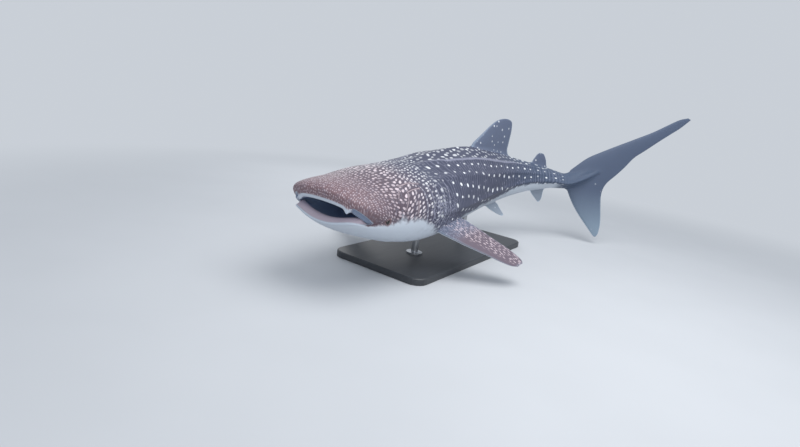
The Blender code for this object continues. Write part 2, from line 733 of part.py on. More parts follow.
def main():
    for old in list(bpy.data.objects):
        bpy.data.objects.remove(old)

    head, jaw = make_head()
    gills = loft("gill_region", [body_ring(s) for s in gill_stations()])
    torso_rings = [body_ring(s) for s in between(GILLS_END, TORSO_END, TORSO_RINGS)]
    tail_rings = [body_ring(s) for s in between(TORSO_END, TAIL_END, TAIL_RINGS)]
    torso = loft("torso", torso_rings)
    tail = loft("tail", tail_rings)
    front_rings = [body_ring(s) for s in gill_stations()[:-1]]
    whole = loft("whole_body", front_rings + torso_rings + tail_rings)
    body_cut = swollen(whole, "body_cut", GAP)
    bpy.data.objects.remove(whole)

    tail_fin = make_tail_fin()
    fins = [
        middle_fin("first_dorsal_fin", FIRST_DORSAL, FIN_RINGS["first_dorsal"]),
        middle_fin("second_dorsal_fin", SECOND_DORSAL, FIN_RINGS["small"]),
        middle_fin("anal_fin", ANAL, FIN_RINGS["small"]),
    ]
    paired = (
        ("pectoral_fin", PECTORAL, PECTORAL_ROOT, PECTORAL_TILT, FIN_RINGS["pectoral"]),
        ("pelvic_fin", PELVIC, PELVIC_ROOT, PELVIC_TILT, FIN_RINGS["small"]),
    )
    for word, side in (("left", 1), ("right", -1)):
        for name, rows, root, tilt, spans in paired:
            fins.append(paired_fin(f"{name}_{word}", rows, root, tilt, side, spans))
    for fin in fins:
        combine(fin, copy_of(body_cut, "body_cut_copy"), "DIFFERENCE")
        keep_largest(fin)

    eyes = []
    for word, side in (("left", 1), ("right", -1)):
        eyes.append(ball(f"eye_{word}", eye_centre(side), (EYE_RADIUS,) * 3))

    base_x, base_y, _ = place(BASE_S, 0, 0)
    base = slab("stand_base", (base_x, base_y, -FLOOR_DOWN), BASE_SIZE, BASE_CORNER, BASE_CHAMFER)
    rods = [make_rod(name, s, body_cut) for name, s in ROD_PLACES]
    bpy.data.objects.remove(body_cut)

    looks = (
        ([head, gills, torso, tail], "slate_back", BACK_GREY, 0.55, 0.0),
        ([jaw], "pale_underside", PALE, 0.6, 0.0),
        ([tail_fin, *fins], "fin_grey", FIN_GREY, 0.55, 0.0),
        (eyes, "dark_eye", EYE_DARK, 0.15, 0.0),
        ([base], "stand_paint", STAND_DARK, 0.45, 0.0),
        (rods, "brushed_steel", ROD_STEEL, 0.35, 1.0),
    )
    for things, name, colour, roughness, metallic in looks:
        for thing in things:
            thing.data.materials.clear()
            thing.data.materials.append(material(f"{name}_{thing.name}", colour, roughness, metallic))

    corners = np.concatenate([[tuple(v.co) for v in thing.data.vertices] for thing in bpy.data.objects])
    low, high = corners.min(0), corners.max(0)
    shift = -np.array([(low[0] + high[0]) / 2, (low[1] + high[1]) / 2, low[2]])
    for thing in bpy.data.objects:
        thing.location = shift


main()
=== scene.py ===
import math

import bmesh
import bpy
import numpy as np
from mathutils import Matrix, Vector, kdtree


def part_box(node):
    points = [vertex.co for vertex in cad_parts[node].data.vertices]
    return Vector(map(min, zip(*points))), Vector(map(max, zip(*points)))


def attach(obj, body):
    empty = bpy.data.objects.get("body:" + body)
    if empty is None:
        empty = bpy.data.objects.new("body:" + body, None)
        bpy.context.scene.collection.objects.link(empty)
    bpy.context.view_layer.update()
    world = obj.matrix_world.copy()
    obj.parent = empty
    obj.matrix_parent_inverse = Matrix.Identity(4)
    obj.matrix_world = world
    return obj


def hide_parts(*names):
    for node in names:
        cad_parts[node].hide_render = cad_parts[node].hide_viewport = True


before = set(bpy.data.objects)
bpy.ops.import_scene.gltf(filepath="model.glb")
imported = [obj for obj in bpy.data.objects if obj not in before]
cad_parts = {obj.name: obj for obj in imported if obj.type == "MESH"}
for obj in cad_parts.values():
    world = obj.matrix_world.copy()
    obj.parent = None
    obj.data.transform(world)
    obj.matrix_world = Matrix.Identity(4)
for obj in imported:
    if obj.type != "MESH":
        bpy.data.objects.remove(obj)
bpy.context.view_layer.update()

# A whale shark, as a still life-size model on a display stand.
# Places on the animal are shares of its length: s runs back from the nose along the bent
# centreline, left runs out to its left side, and up is the height over the centreline.

bodyLength = 5.5

bend = {"start": 0.15, "end": 0.78, "turn": (0.426, -0.403, -4.749)}   # heading in radians, a cubic in s

trunk = {
    # s, top, bottom, half width, height of the widest line, squareness above and below it
    "sections": (
        (0.105, 0.0395, -0.068, 0.082, -0.015, 2.2, 2.45),
        (0.15, 0.0435, -0.075, 0.084, -0.014, 2.15, 2.45),
        (0.2, 0.0495, -0.078, 0.083, -0.012, 2.1, 2.4),
        (0.25, 0.058, -0.074, 0.079, -0.009, 2.0, 2.35),
        (0.3, 0.065, -0.068, 0.0735, -0.005, 1.95, 2.3),
        (0.37, 0.0705, -0.062, 0.0665, 0.001, 1.9, 2.25),
        (0.45, 0.0695, -0.054, 0.057, 0.007, 1.9, 2.2),
        (0.53, 0.0615, -0.0435, 0.047, 0.01, 1.9, 2.15),
        (0.6, 0.051, -0.031, 0.0385, 0.0115, 1.9, 2.1),
        (0.66, 0.043, -0.019, 0.0315, 0.012, 1.9, 2.05),
        (0.715, 0.0352, -0.0095, 0.026, 0.0125, 1.9, 2.0),
        (0.762, 0.0305, -0.004, 0.0215, 0.0125, 1.9, 2.0),
        (0.8, 0.052, 0.008, 0.01, 0.029, 2.0, 2.0),
        (0.85, 0.076, 0.05, 0.0015, 0.063, 2.0, 2.0),
    ),
    "headEnd": 0.105,
    "end": 0.85,
    "around": 172,
    "rings": 176,
}

ridges = {
    "stations": (0.2, 0.42, 0.7),
    "angles": ((15, 42, 36), (46, 68, 64), (92, 104, 94)),    # degrees from the back, at each station
    "heights": (0.0022, 0.0026, 0.003),
    "width": 5.0,
    "back": 0.002,
    "keel": 0.0075,
}

mouth = {
    "corner": (0.0291, 0.0597, -0.0229),
    "upperSquare": 3.2,
    "upperUp": -0.0017,
    "upperSweep": 0.755,
    "lowerSquare": 3.8,
    "lowerFront": 0.0015,
    "lowerUp": -0.0302,
    "lowerLift": 0.01,
    "throat": (0.088, 0.043, -0.016, 0.018),    # s, half width, up, half height
    "rings": 60,
    "crowd": 1.5,                    # above 1 the rings crowd toward the lips
    "taper": 1.3,
    "gape": (0.006, 0.05, 0.42, 0.5),     # height, and the shares where it starts, is full and closes again
    "pad": (0.044, 0.075, 0.15, 0.35),    # the jaw's inner lip: height, crest, end, and the upper lip's share
}

head = {
    "snoutBlunt": 0.43,
    "sideBlunt": 0.53,
    "chinBlunt": 0.65,
    "hold": 1.15,
    "overhang": 0.014,
    "overhangDepth": 0.5,
    "overhangPeak": 0.7,
    "overhangFade": 0.38,
    "rings": 74,
    "crowd": 1.9,
}

gills = {
    "slits": (0.135, 0.152, 0.168, 0.184, 0.199),
    "top": 50,
    "low": 112,
    "raise": 0.0014,
    "sink": 0.0022,
    "bow": 0.008,
    "steps": (-0.008, -0.003, -0.001, 0.0, 0.0015, 0.004, 0.01),    # rings beside a slit, in metres
    "clear": 0.014,
    "flap": (-0.075, -0.001),             # metres from the slit where the flap starts to rise and is full
    "groove": (0.0015, 0.002, 0.045),     # and where the groove is full, starts to close and ends
    "edge": 0.0002,
}

lips = {
    # height, distance from the lip's edge and width of a roll and of the crease beside it, in metres
    "upper": ((0.0055, 0.006, 0.012), (-0.004, 0.03, 0.01)),
    "corner": ((0.006, 0.012, 0.01), (-0.007, 0.032, 0.009)),
    "lower": ((0.004, 0.004, 0.012), (-0.0025, 0.036, 0.014)),
}

# features: place, reach of the finer mesh around it in metres, and its cuts
eye = {"place": (0.0536, 0.0735, -0.0194), "fine": (0.075, 3), "radius": 0.022, "pit": (0.016, 0.005)}
spiracle = {"place": (0.0747, 0.0786, -0.0157), "fine": (0.045, 2), "radius": 0.011, "pit": (0.012, 0.002)}
nostril = {
    "place": (0.006, 0.0449, -0.005),
    "fine": (0.08, 2),
    "lobe": (35.5, 5.2, 0.021),     # degrees from the back, width in degrees and drop in metres
    "notch": (44.0, 3.6, 0.009),
    "swell": 0.006,
}

fins = {
    # s and up of the leading edge, the same of the trailing edge, half thickness; from root to tip
    "first_dorsal_fin": (
        (0.398, 0.056, 0.566, 0.044, 0.0085), (0.408, 0.068, 0.58, 0.0545, 0.008),
        (0.425, 0.0815, 0.567, 0.068, 0.0066), (0.444, 0.0925, 0.567, 0.082, 0.0055),
        (0.4648, 0.1055, 0.568, 0.0955, 0.0044), (0.486, 0.119, 0.569, 0.109, 0.0034),
        (0.508, 0.13, 0.568, 0.1215, 0.0024), (0.53, 0.1352, 0.5655, 0.1295, 0.0016),
        (0.548, 0.1362, 0.56, 0.1335, 0.0007),
    ),
    "second_dorsal_fin": (
        (0.642, 0.03, 0.696, 0.027, 0.0045), (0.649, 0.04, 0.705, 0.036, 0.0038),
        (0.656, 0.049, 0.6985, 0.0455, 0.003), (0.662, 0.0585, 0.6955, 0.0545, 0.0023),
        (0.668, 0.067, 0.6905, 0.063, 0.0015), (0.675, 0.071, 0.685, 0.0695, 0.0007),
    ),
    "anal_fin": (
        (0.652, -0.006, 0.698, 0.0, 0.0038), (0.66, -0.014, 0.7075, -0.01, 0.0032),
        (0.669, -0.0225, 0.7045, -0.02, 0.0025), (0.679, -0.0315, 0.7045, -0.029, 0.0018),
        (0.689, -0.04, 0.7035, -0.0375, 0.0011), (0.6955, -0.0455, 0.7, -0.0445, 0.0006),
    ),
    "caudal_fin": (
        (0.852, -0.1122, 0.856, -0.1114, 0.0006), (0.8462, -0.1078, 0.8592, -0.104, 0.0011),
        (0.839, -0.1005, 0.8598, -0.094, 0.0016), (0.823, -0.084, 0.8595, -0.08, 0.0026),
        (0.803, -0.063, 0.856, -0.06, 0.0038), (0.783, -0.038, 0.8505, -0.036, 0.005),
        (0.766, -0.011, 0.846, -0.013, 0.0062), (0.754, 0.011, 0.846, 0.005, 0.007),
        (0.759, 0.034, 0.85, 0.018, 0.0068), (0.774, 0.052, 0.856, 0.028, 0.0064),
        (0.796, 0.074, 0.868, 0.043, 0.0056), (0.825, 0.093, 0.883, 0.064, 0.0048),
        (0.86, 0.114, 0.899, 0.0895, 0.004), (0.895, 0.1345, 0.92, 0.11, 0.0032),
        (0.926, 0.153, 0.943, 0.133, 0.0025), (0.954, 0.173, 0.964, 0.153, 0.0018),
        (0.976, 0.188, 0.983, 0.171, 0.0012), (0.993, 0.1945, 1.0, 0.1915, 0.0006),
    ),
    # out, leading back, trailing back, half thickness
    "pectoral_fin": (
        (-0.03, -0.024, 0.066, 0.0062), (-0.01, -0.008, 0.0765, 0.006),
        (0.006, 0.004, 0.084, 0.0056), (0.024, 0.016, 0.0905, 0.005),
        (0.042, 0.028, 0.096, 0.0043), (0.06, 0.041, 0.1025, 0.0036),
        (0.077, 0.053, 0.1085, 0.0029), (0.093, 0.064, 0.1125, 0.0021),
        (0.107, 0.0765, 0.113, 0.0013), (0.114, 0.089, 0.108, 0.0006),
    ),
    "pelvic_fin": (
        (-0.012, -0.008, 0.044, 0.0034), (-0.002, 0.0, 0.053, 0.003),
        (0.007, 0.011, 0.054, 0.0024), (0.016, 0.024, 0.056, 0.0018),
        (0.024, 0.037, 0.058, 0.0012), (0.0285, 0.048, 0.057, 0.0006),
    ),
}

pairedFins = {
    # root corner (s, left, up), droop and pitch in degrees
    "pectoral_fin": ((0.19, 0.077, -0.052), 29, 10),
    "pelvic_fin": ((0.472, 0.025, -0.046), 50, 4),
}

finMesh = {
    # rings along the fin, points along one face
    "first_dorsal_fin": (54, 26),
    "second_dorsal_fin": (30, 20),
    "anal_fin": (30, 20),
    "caudal_fin": (96, 24),
    "pectoral_fin": (66, 30),
    "pelvic_fin": (34, 20),
}

standPlace = {"baseS": 0.350, "floorDown": 0.720}


# Shape functions

def curveThrough(table, column, stations=None):
    x = np.array([row[0] for row in table] if stations is None else stations, float)
    y = np.array([row[column] for row in table], float)
    slope = np.gradient(y, x)

    def curve(s):
        s = np.clip(s, x[0], x[-1])
        i = np.clip(np.searchsorted(x, s, side="right") - 1, 0, len(x) - 2)
        width = x[i + 1] - x[i]
        t = (s - x[i]) / width
        return (
            (2 * t**3 - 3 * t**2 + 1) * y[i]
            + (t**3 - 2 * t**2 + t) * width * slope[i]
            + (3 * t**2 - 2 * t**3) * y[i + 1]
            + (t**3 - t**2) * width * slope[i + 1]
        )

    return curve


topOf, bottomOf, halfWidthOf, widestUpOf, squareUpOf, squareDownOf = (
    curveThrough(trunk["sections"], column) for column in range(1, 7)
)


def heading(s):
    u = np.clip(s, bend["start"], bend["end"]) - bend["start"]
    a, b, c = bend["turn"]
    return a * u + b * u**2 + c * u**3


trackS = np.linspace(0, 1.2, 2401)
trackTurn = heading((trackS[1:] + trackS[:-1]) / 2)
trackX = np.concatenate([[0], np.cumsum(np.cos(trackTurn) * np.diff(trackS))])
trackY = np.concatenate([[0], np.cumsum(np.sin(trackTurn) * np.diff(trackS))])


def bentPlace(s, left, up):
    s, left, up = np.broadcast_arrays(np.asarray(s, float), left, up)
    turn = heading(s)
    x = np.interp(s, trackS, trackX) + np.minimum(s, 0) + left * np.sin(turn)
    y = np.interp(s, trackS, trackY) - left * np.cos(turn)
    return bodyLength * np.stack([x, y, up], -1)


baseLow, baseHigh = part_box("stand_base")
baseCentre = np.array((baseLow + baseHigh) / 2)
baseOnTrack = bentPlace(standPlace["baseS"], 0, 0)
originShift = np.array(
    [baseCentre[0] - baseOnTrack[0], baseCentre[1] - baseOnTrack[1], standPlace["floorDown"] + baseLow.z]
)


def placeOnBody(s, left, up):
    return bentPlace(s, left, up) + originShift


def signedPower(value, exponent):
    return np.sign(value) * np.abs(value) ** exponent


def ease(value, start, end):
    t = np.clip((value - start) / (end - start), 0, 1)
    return t * t * (3 - 2 * t)


def hump(value, centre, width):
    return np.exp(-(((value - centre) / width) ** 2))


def ridgeAngle(path, s):
    return curveThrough(np.array(path, float)[:, None], 0, ridges["stations"])(s)


def ridgeRelief(s, angle):
    away = np.abs(angle)
    strength = ease(s, 0.10, 0.20) * (1 - ease(s, 0.60, 0.72))
    relief = ridges["back"] * ease(s, 0.03, 0.18) * (1 - ease(s, 0.60, 0.76)) * hump(away, 0, 5)
    for height, path in zip(ridges["heights"], ridges["angles"]):
        relief = relief + height * strength * hump(away, ridgeAngle(path, s), ridges["width"])
    keel = ridges["keel"] * ease(s, 0.65, 0.74) * (1 - ease(s, 0.78, 0.84))
    return relief + keel * hump(away, ridgeAngle(ridges["angles"][-1], s), 14)


def bodySection(s, angle):
    a = np.radians(angle)
    above = np.abs(angle) <= 90
    square = np.where(above, squareUpOf(s), squareDownOf(s))
    reach = np.where(above, topOf(s) - widestUpOf(s), widestUpOf(s) - bottomOf(s))
    left = halfWidthOf(s) * signedPower(np.sin(a), 2 / square)
    rise = reach * signedPower(np.cos(a), 2 / square)
    grow = 1 + ridgeRelief(s, angle) / np.hypot(left, rise)
    return left * grow, widestUpOf(s) + rise * grow


def lipLine(angle):
    a = np.radians(angle)
    cornerS, cornerLeft, cornerUp = mouth["corner"]
    above = np.abs(angle) <= 90
    square = np.where(above, mouth["upperSquare"], mouth["lowerSquare"])
    out = np.abs(np.sin(a)) ** (2 / square)
    back = 1 - np.abs(np.cos(a)) ** (2 / square)
    front = np.where(above, 0.0, mouth["lowerFront"])
    upperUp = mouth["upperUp"] + (cornerUp - mouth["upperUp"]) * back ** mouth["upperSweep"]
    lift = (cornerUp - mouth["lowerUp"]) + mouth["lowerLift"] * (1 - out**4)
    lowerUp = mouth["lowerUp"] + lift * out**2
    left = cornerLeft * np.sign(np.sin(a)) * out
    return front + (cornerS - front) * back, left, np.where(above, upperUp, lowerUp)


def headRing(share, angle):
    a = np.radians(angle)
    lipS, lipLeft, lipUp = lipLine(angle)
    left, up = bodySection(trunk["headEnd"], angle)
    rise = share ** np.where(np.abs(angle) <= 90, head["snoutBlunt"], head["chinBlunt"])
    way = min(share / head["overhangDepth"], 1)
    swell = head["overhang"] * math.sin(math.pi * way ** head["overhangPeak"])
    swell = swell * np.clip(np.cos(a), 0, 1) ** head["overhangFade"]
    back = share ** np.where(np.abs(angle) <= 90, head["hold"], 1.0)
    turn = 2 - 2 / mouth["upperSquare"]
    forward = np.clip(np.cos(a), 0, 1) ** turn
    outward = signedPower(np.sin(a), turn)
    length = np.hypot(forward, outward)
    return (
        lipS + (trunk["headEnd"] - lipS) * back - swell * forward / length,
        lipLeft + (left - lipLeft) * share ** head["sideBlunt"] + swell * outward / length,
        lipUp + (up - lipUp) * rise,
    )


def mouthRing(share, angle):
    a = np.radians(angle)
    lipS, lipLeft, lipUp = lipLine(angle)
    throatS, throatLeft, throatUp, throatReach = mouth["throat"]
    gapeHigh, gapeStart, gapeFull, gapeClose = mouth["gape"]
    gape = gapeHigh * ease(share, gapeStart, gapeFull) * (1 - ease(share, gapeClose, 1.0))
    left = throatLeft * np.sin(a)
    up = throatUp + throatReach * np.cos(a)
    padHigh, padCrest, padEnd, padAbove = mouth["pad"]
    depth = (throatS - lipS) * share * bodyLength
    rise = np.sin(math.pi / 2 * np.clip(depth / padCrest, 0, 1))
    pad = padHigh * rise * (1 - ease(depth, padCrest, padEnd))
    lower = ease(np.abs(angle), 91, 118)
    upper = 1 - ease(np.abs(angle), 60, 88)
    return (
        lipS + (throatS - lipS) * share,
        lipLeft + (left - lipLeft) * share ** mouth["taper"],
        lipUp + (up - lipUp) * share + gape * np.cos(a) + pad / bodyLength * (lower - padAbove * upper),
    )


def ringAngles(count):
    turn = np.linspace(-180, 180, count + 1)
    turn = turn + 9.0 * np.sin(np.radians(2 * turn))    # closer together at the mouth's corners
    near = np.minimum(np.abs(turn), 180 - np.abs(turn))    # from the middle line
    pull = near * (1 - np.clip(near / 9.0, 0, 1)) ** 2 * 0.55    # and beside the middle line
    return turn - np.sign(turn) * np.where(np.abs(turn) < 90, pull, -pull)


def trunkStations():
    steps = np.linspace(0, 1, trunk["rings"] + 1)[1:]
    even = trunk["headEnd"] + (trunk["end"] - trunk["headEnd"]) * (0.8 * steps + 0.2 * steps**2)
    near = np.min(np.abs(even[:, None] - np.array(gills["slits"])), axis=1)
    extra = [slit + step / bodyLength for slit in gills["slits"] for step in gills["steps"]]
    return np.sort(np.concatenate([even[near > gills["clear"] / bodyLength], extra]))


def slitBow(s, angle):
    window = ease(s, 0.112, 0.135) * (1 - ease(s, 0.215, 0.240))
    return -gills["bow"] * window * (1 - ease(np.abs(angle), 36, 62))


def bodyGrid():
    angle = ringAngles(trunk["around"])
    kinds, points = [], []
    for share in np.linspace(1, 0, mouth["rings"], endpoint=False) ** mouth["crowd"]:
        s, left, up = mouthRing(share, angle)
        kinds.append(-share)
        points.append(placeOnBody(s, left, up))
    for share in np.linspace(0, 1, head["rings"]) ** head["crowd"]:
        s, left, up = headRing(share, angle)
        kinds.append(share)
        points.append(placeOnBody(s, left, up))
    for s in trunkStations():
        bowed = s + slitBow(s, angle)
        left, up = bodySection(bowed, angle)
        kinds.append(1 + s)
        points.append(placeOnBody(bowed, left, up))
    return np.array(kinds), angle, np.array(points)


def softenLips(kind, points, rounds=10):
    near = (hump(kind, 0.0, 0.05) * (kind <= 1))[:, None, None]
    for _ in range(rounds):
        smooth = points.copy()
        smooth[1:-1] = (points[:-2] + 2 * points[1:-1] + points[2:]) / 4
        points = points + (smooth - points) * near
    return points


def surfaceMeasures(kind, points):
    step = np.linalg.norm(np.diff(points, axis=0), axis=2)
    length = np.concatenate([np.zeros((1, points.shape[1])), np.cumsum(step, axis=0)])
    lipRow = int(np.argmax(kind >= 0))
    headRow = int(np.argmax(kind >= 1))
    side = np.linalg.norm(np.diff(points, axis=1), axis=2)
    arc = np.concatenate([np.zeros((points.shape[0], 1)), np.cumsum(side, axis=1)], axis=1)
    arc = arc - arc[:, points.shape[1] // 2][:, None]
    along = length - length[headRow] + trunk["headEnd"] * bodyLength
    stations = np.maximum(kind - 1, trunk["headEnd"])[:, None]
    along = np.where(kind[:, None] > 1, stations * bodyLength, along)
    return length - length[lipRow], along, arc


def gridFaces(rows, columns):
    corner = np.arange(rows * columns).reshape(rows, columns)
    quads = np.stack([corner[:-1, :-1], corner[:-1, 1:], corner[1:, 1:], corner[1:, :-1]], axis=-1)
    return quads.reshape(-1, 4)


def meshFrom(name, points, faces):
    mesh = bpy.data.meshes.new(name)
    mesh.from_pydata([tuple(p) for p in points], [], [tuple(f) for f in faces])
    piece = bpy.data.objects.new(name, mesh)
    bpy.context.scene.collection.objects.link(piece)
    return piece


def setPointValues(mesh, name, values):
    layer = mesh.attributes.new(name, "FLOAT", "POINT")
    layer.data.foreach_set("value", np.asarray(values, np.float32).ravel())


def fetch(items, key, width=1, numbers=np.float32):    # one value or vector of each item
    found = np.empty(len(items) * width, numbers)
    items.foreach_get(key, found)
    return found if width == 1 else found.reshape(-1, width)


def pointValues(mesh, name):
    return fetch(mesh.attributes[name].data, "value").astype(float)


def vertexPlaces(mesh):
    return fetch(mesh.vertices, "co", 3).astype(float)


def moveVertices(mesh, places):
    mesh.vertices.foreach_set("co", np.asarray(places, np.float32).ravel())
    mesh.update()


def cornerVertices(mesh):
    return fetch(mesh.loops, "vertex_index", numbers=np.int32)


def setMap(mesh, name, across, up):
    layer = mesh.uv_layers.new(name=name)
    corners = cornerVertices(mesh)
    both = np.stack([np.asarray(across)[corners], np.asarray(up)[corners]], axis=-1)
    layer.data.foreach_set("uv", both.astype(np.float32).ravel())


def setFaceNumber(mesh, name, value):
    layer = mesh.attributes.new(name, "INT", "FACE")
    layer.data.foreach_set("value", np.full(len(mesh.polygons), value, np.int32))


def refineNear(piece, centre, reach, cuts):
    shape = bmesh.new()
    shape.from_mesh(piece.data)
    middle = Vector(centre)
    edges = set()
    for face in shape.faces:
        if (face.calc_center_median() - middle).length < reach:
            edges.update(face.edges)
    bmesh.ops.subdivide_edges(shape, edges=list(edges), cuts=cuts, use_grid_fill=True)
    shape.to_mesh(piece.data)
    shape.free()


def weldAndClose(piece):
    shape = bmesh.new()
    shape.from_mesh(piece.data)
    bmesh.ops.remove_doubles(shape, verts=shape.verts, dist=1e-6)
    bmesh.ops.dissolve_degenerate(shape, edges=shape.edges, dist=1e-7)
    rims = [edge for edge in shape.edges if edge.is_boundary]
    bmesh.ops.holes_fill(shape, edges=rims, sides=0)
    bmesh.ops.recalc_face_normals(shape, faces=shape.faces)
    if shape.calc_volume(signed=True) < 0:
        bmesh.ops.reverse_faces(shape, faces=shape.faces)
    shape.to_mesh(piece.data)
    shape.free()


def mirrored(place, side):
    s, left, up = place
    return placeOnBody(s, side * left, up)


kind, ringAngle, bodyPoints = bodyGrid()
bodyPoints = softenLips(kind, bodyPoints)
fromLip, alongBody, arcBody = surfaceMeasures(kind, bodyPoints)
rowCount, columnCount = bodyPoints.shape[:2]
skin = meshFrom("shark_skin", bodyPoints.reshape(-1, 3), gridFaces(rowCount, columnCount))
angleGrid = np.broadcast_to(ringAngle, (rowCount, columnCount))
kindGrid = np.broadcast_to(kind[:, None], (rowCount, columnCount))
for name, values in (
    ("fromLip", fromLip),
    ("along", alongBody),
    ("arc", arcBody),
    ("angle", angleGrid),
    ("kind", kindGrid),
):
    setPointValues(skin.data, name, values)
for side in (1, -1):
    for feature in (eye, spiracle, nostril):
        refineNear(skin, mirrored(feature["place"], side), *feature["fine"])
print("body grid:", rowCount, "rings of", columnCount, "points,", len(skin.data.vertices), "after refining")


# Relief: lips, nostrils, gill flaps, eye rims, spiracles

def gillWindow(away, above, below):    # 1 over the height of the slits, fading out past their ends
    top = ease(away, gills["top"] - above, gills["top"] + 8)
    return top * (1 - ease(away, gills["low"] - below, gills["low"] + 6))


def gillRelief(kind, angle):
    window = gillWindow(np.abs(angle), 6, 8)
    relief = np.zeros(len(kind))
    grooveFull, grooveClose, grooveEnd = gills["groove"]
    for slit in gills["slits"]:
        x = (kind - 1 - slit) * bodyLength
        flap = gills["raise"] * bodyLength * ease(x, *gills["flap"]) * (x <= gills["edge"])
        groove = -gills["sink"] * bodyLength * ease(x, 0.0, grooveFull)
        groove = groove * (1 - ease(x, grooveClose, grooveEnd)) * (x > gills["edge"])
        relief = relief + flap + groove
    return relief * window * (kind > 1)


def rollsOf(name, fromLip):
    return sum(height * hump(fromLip, centre, width) for height, centre, width in lips[name])


def lipRelief(fromLip, angle, kind):
    away = np.abs(angle)
    outside = (kind > -0.3) & (kind <= 1)
    upper = 1 - ease(away, 84, 92)
    atCorner = ease(away, 42, 50) * upper
    roll = rollsOf("upper", fromLip) + atCorner * rollsOf("corner", fromLip)
    return np.where(outside, roll * upper + rollsOf("lower", fromLip) * (1 - upper), 0.0)


def pitAround(places, centre, radius, depth, rim):
    away = np.linalg.norm(places - centre, axis=1)
    pit = -depth * (1 - ease(away, radius * 0.55, radius * 1.02))
    return pit + rim * hump(away, radius * 1.3, radius * 0.28)


def applyRelief(piece):
    mesh = piece.data
    places = vertexPlaces(mesh)
    normals = fetch(mesh.vertex_normals, "vector", 3).astype(float)
    first = np.arange(rowCount) * columnCount    # the two columns that meet under the belly share a normal
    last = first + columnCount - 1
    joint = normals[first] + normals[last]
    joint = joint / np.linalg.norm(joint, axis=1)[:, None]
    normals[first] = joint
    normals[last] = joint
    angle = pointValues(mesh, "angle")
    kinds = pointValues(mesh, "kind")
    lipAway = pointValues(mesh, "fromLip")
    relief = gillRelief(kinds, angle) + lipRelief(lipAway, angle, kinds)
    outer = kinds > 0.004
    for side in (1, -1):
        for feature, share in ((eye, 0.86), (spiracle, 1.0)):
            centre = mirrored(feature["place"], side)
            relief = relief + outer * pitAround(places, centre, feature["radius"] * share, *feature["pit"])
    places = places + normals * relief[:, None]
    (lobeAt, lobeWidth, drop), (notchAt, notchWidth, lift) = nostril["lobe"], nostril["notch"]
    lobe = hump(np.abs(angle), lobeAt, lobeWidth) * hump(lipAway, 0.002, 0.02) * (kinds > -0.5)
    notch = hump(np.abs(angle), notchAt, notchWidth) * hump(lipAway, 0.008, 0.016) * (kinds > -0.2)
    lobe, notch = lobe * (kinds < 0.5), notch * (kinds < 0.5)
    places[:, 2] += -drop * lobe + lift * notch
    places = places + normals * (nostril["swell"] * lobe - nostril["swell"] * notch)[:, None]
    moveVertices(mesh, places)


shape = bmesh.new()
shape.from_mesh(skin.data)
topFace = max(shape.faces, key=lambda face: face.calc_center_median().z)
if topFace.normal.z < 0:
    bmesh.ops.reverse_faces(shape, faces=shape.faces)
    shape.to_mesh(skin.data)
shape.free()
applyRelief(skin)
print("relief done")


# Patterns: maps over the skin that the spots, rows and bars are laid out on

markings = {
    # s and cell length there, as shares: small dots on the snout, wide rows on the flank
    "dotCell": (
        (-0.06, 0.0031), (0.02, 0.0034), (0.05, 0.0046), (0.09, 0.0066), (0.14, 0.006), (0.18, 0.0062),
        (0.24, 0.011), (0.3, 0.013), (0.9, 0.013),
    ),
    "rowCell": ((-0.06, 0.022), (0.18, 0.024), (0.3, 0.029), (0.45, 0.033), (0.6, 0.03), (0.9, 0.026)),
    # s, then the angle from the back of the first ridge and of the four rows of white spots under it
    "rowAngles": (
        (0.17, 8, 22, 33, 50, 66),
        (0.21, 12, 34, 44, 59, 75),
        (0.26, 27, 40, 52, 71, 89),
        (0.31, 34, 46, 60, 82, 99),
        (0.39, 41, 55, 73, 99, 118),
        (0.45, 46, 61, 81, 110, 128),
        (0.52, 47, 63, 89, 117, 135),
        (0.6, 38, 61, 94, 122, 140),
        (0.7, 34, 58, 86, 120, 140),
        (0.8, 30, 52, 78, 120, 140),
    ),
    # s and angle from the back where the dark side ends and the pale belly starts
    "bellyEdge": (
        (0.02, 97), (0.06, 94), (0.1, 93), (0.135, 97), (0.165, 110), (0.19, 124), (0.235, 127), (0.26, 122),
        (0.29, 117), (0.35, 119), (0.45, 124), (0.52, 121), (0.56, 110), (0.62, 108), (0.7, 108), (0.8, 96),
    ),
}


def columnAt(table, column, s):    # a column of a table, between its stations
    return np.interp(s, [row[0] for row in table], [row[column] for row in table])


def runningCount(table, s):
    stations = np.linspace(-0.4, 1.2, 1601)
    cell = columnAt(table, 1, stations)
    count = np.concatenate([[0], np.cumsum(np.diff(stations) / cell[1:])])
    return np.interp(s, stations, count)


def rowNumber(s, angle):
    away = np.abs(angle)
    lines = [columnAt(markings["rowAngles"], column, s) for column in range(1, len(markings["rowAngles"][0]))]
    number = away / np.maximum(lines[0], 1) - 1
    for k in range(len(lines) - 1):
        share = (away - lines[k]) / (lines[k + 1] - lines[k])
        number = np.where(away > lines[k], k + share, number)
    return number


bakeReach = 5.35    # metres across the sheet that the materials can be baked to


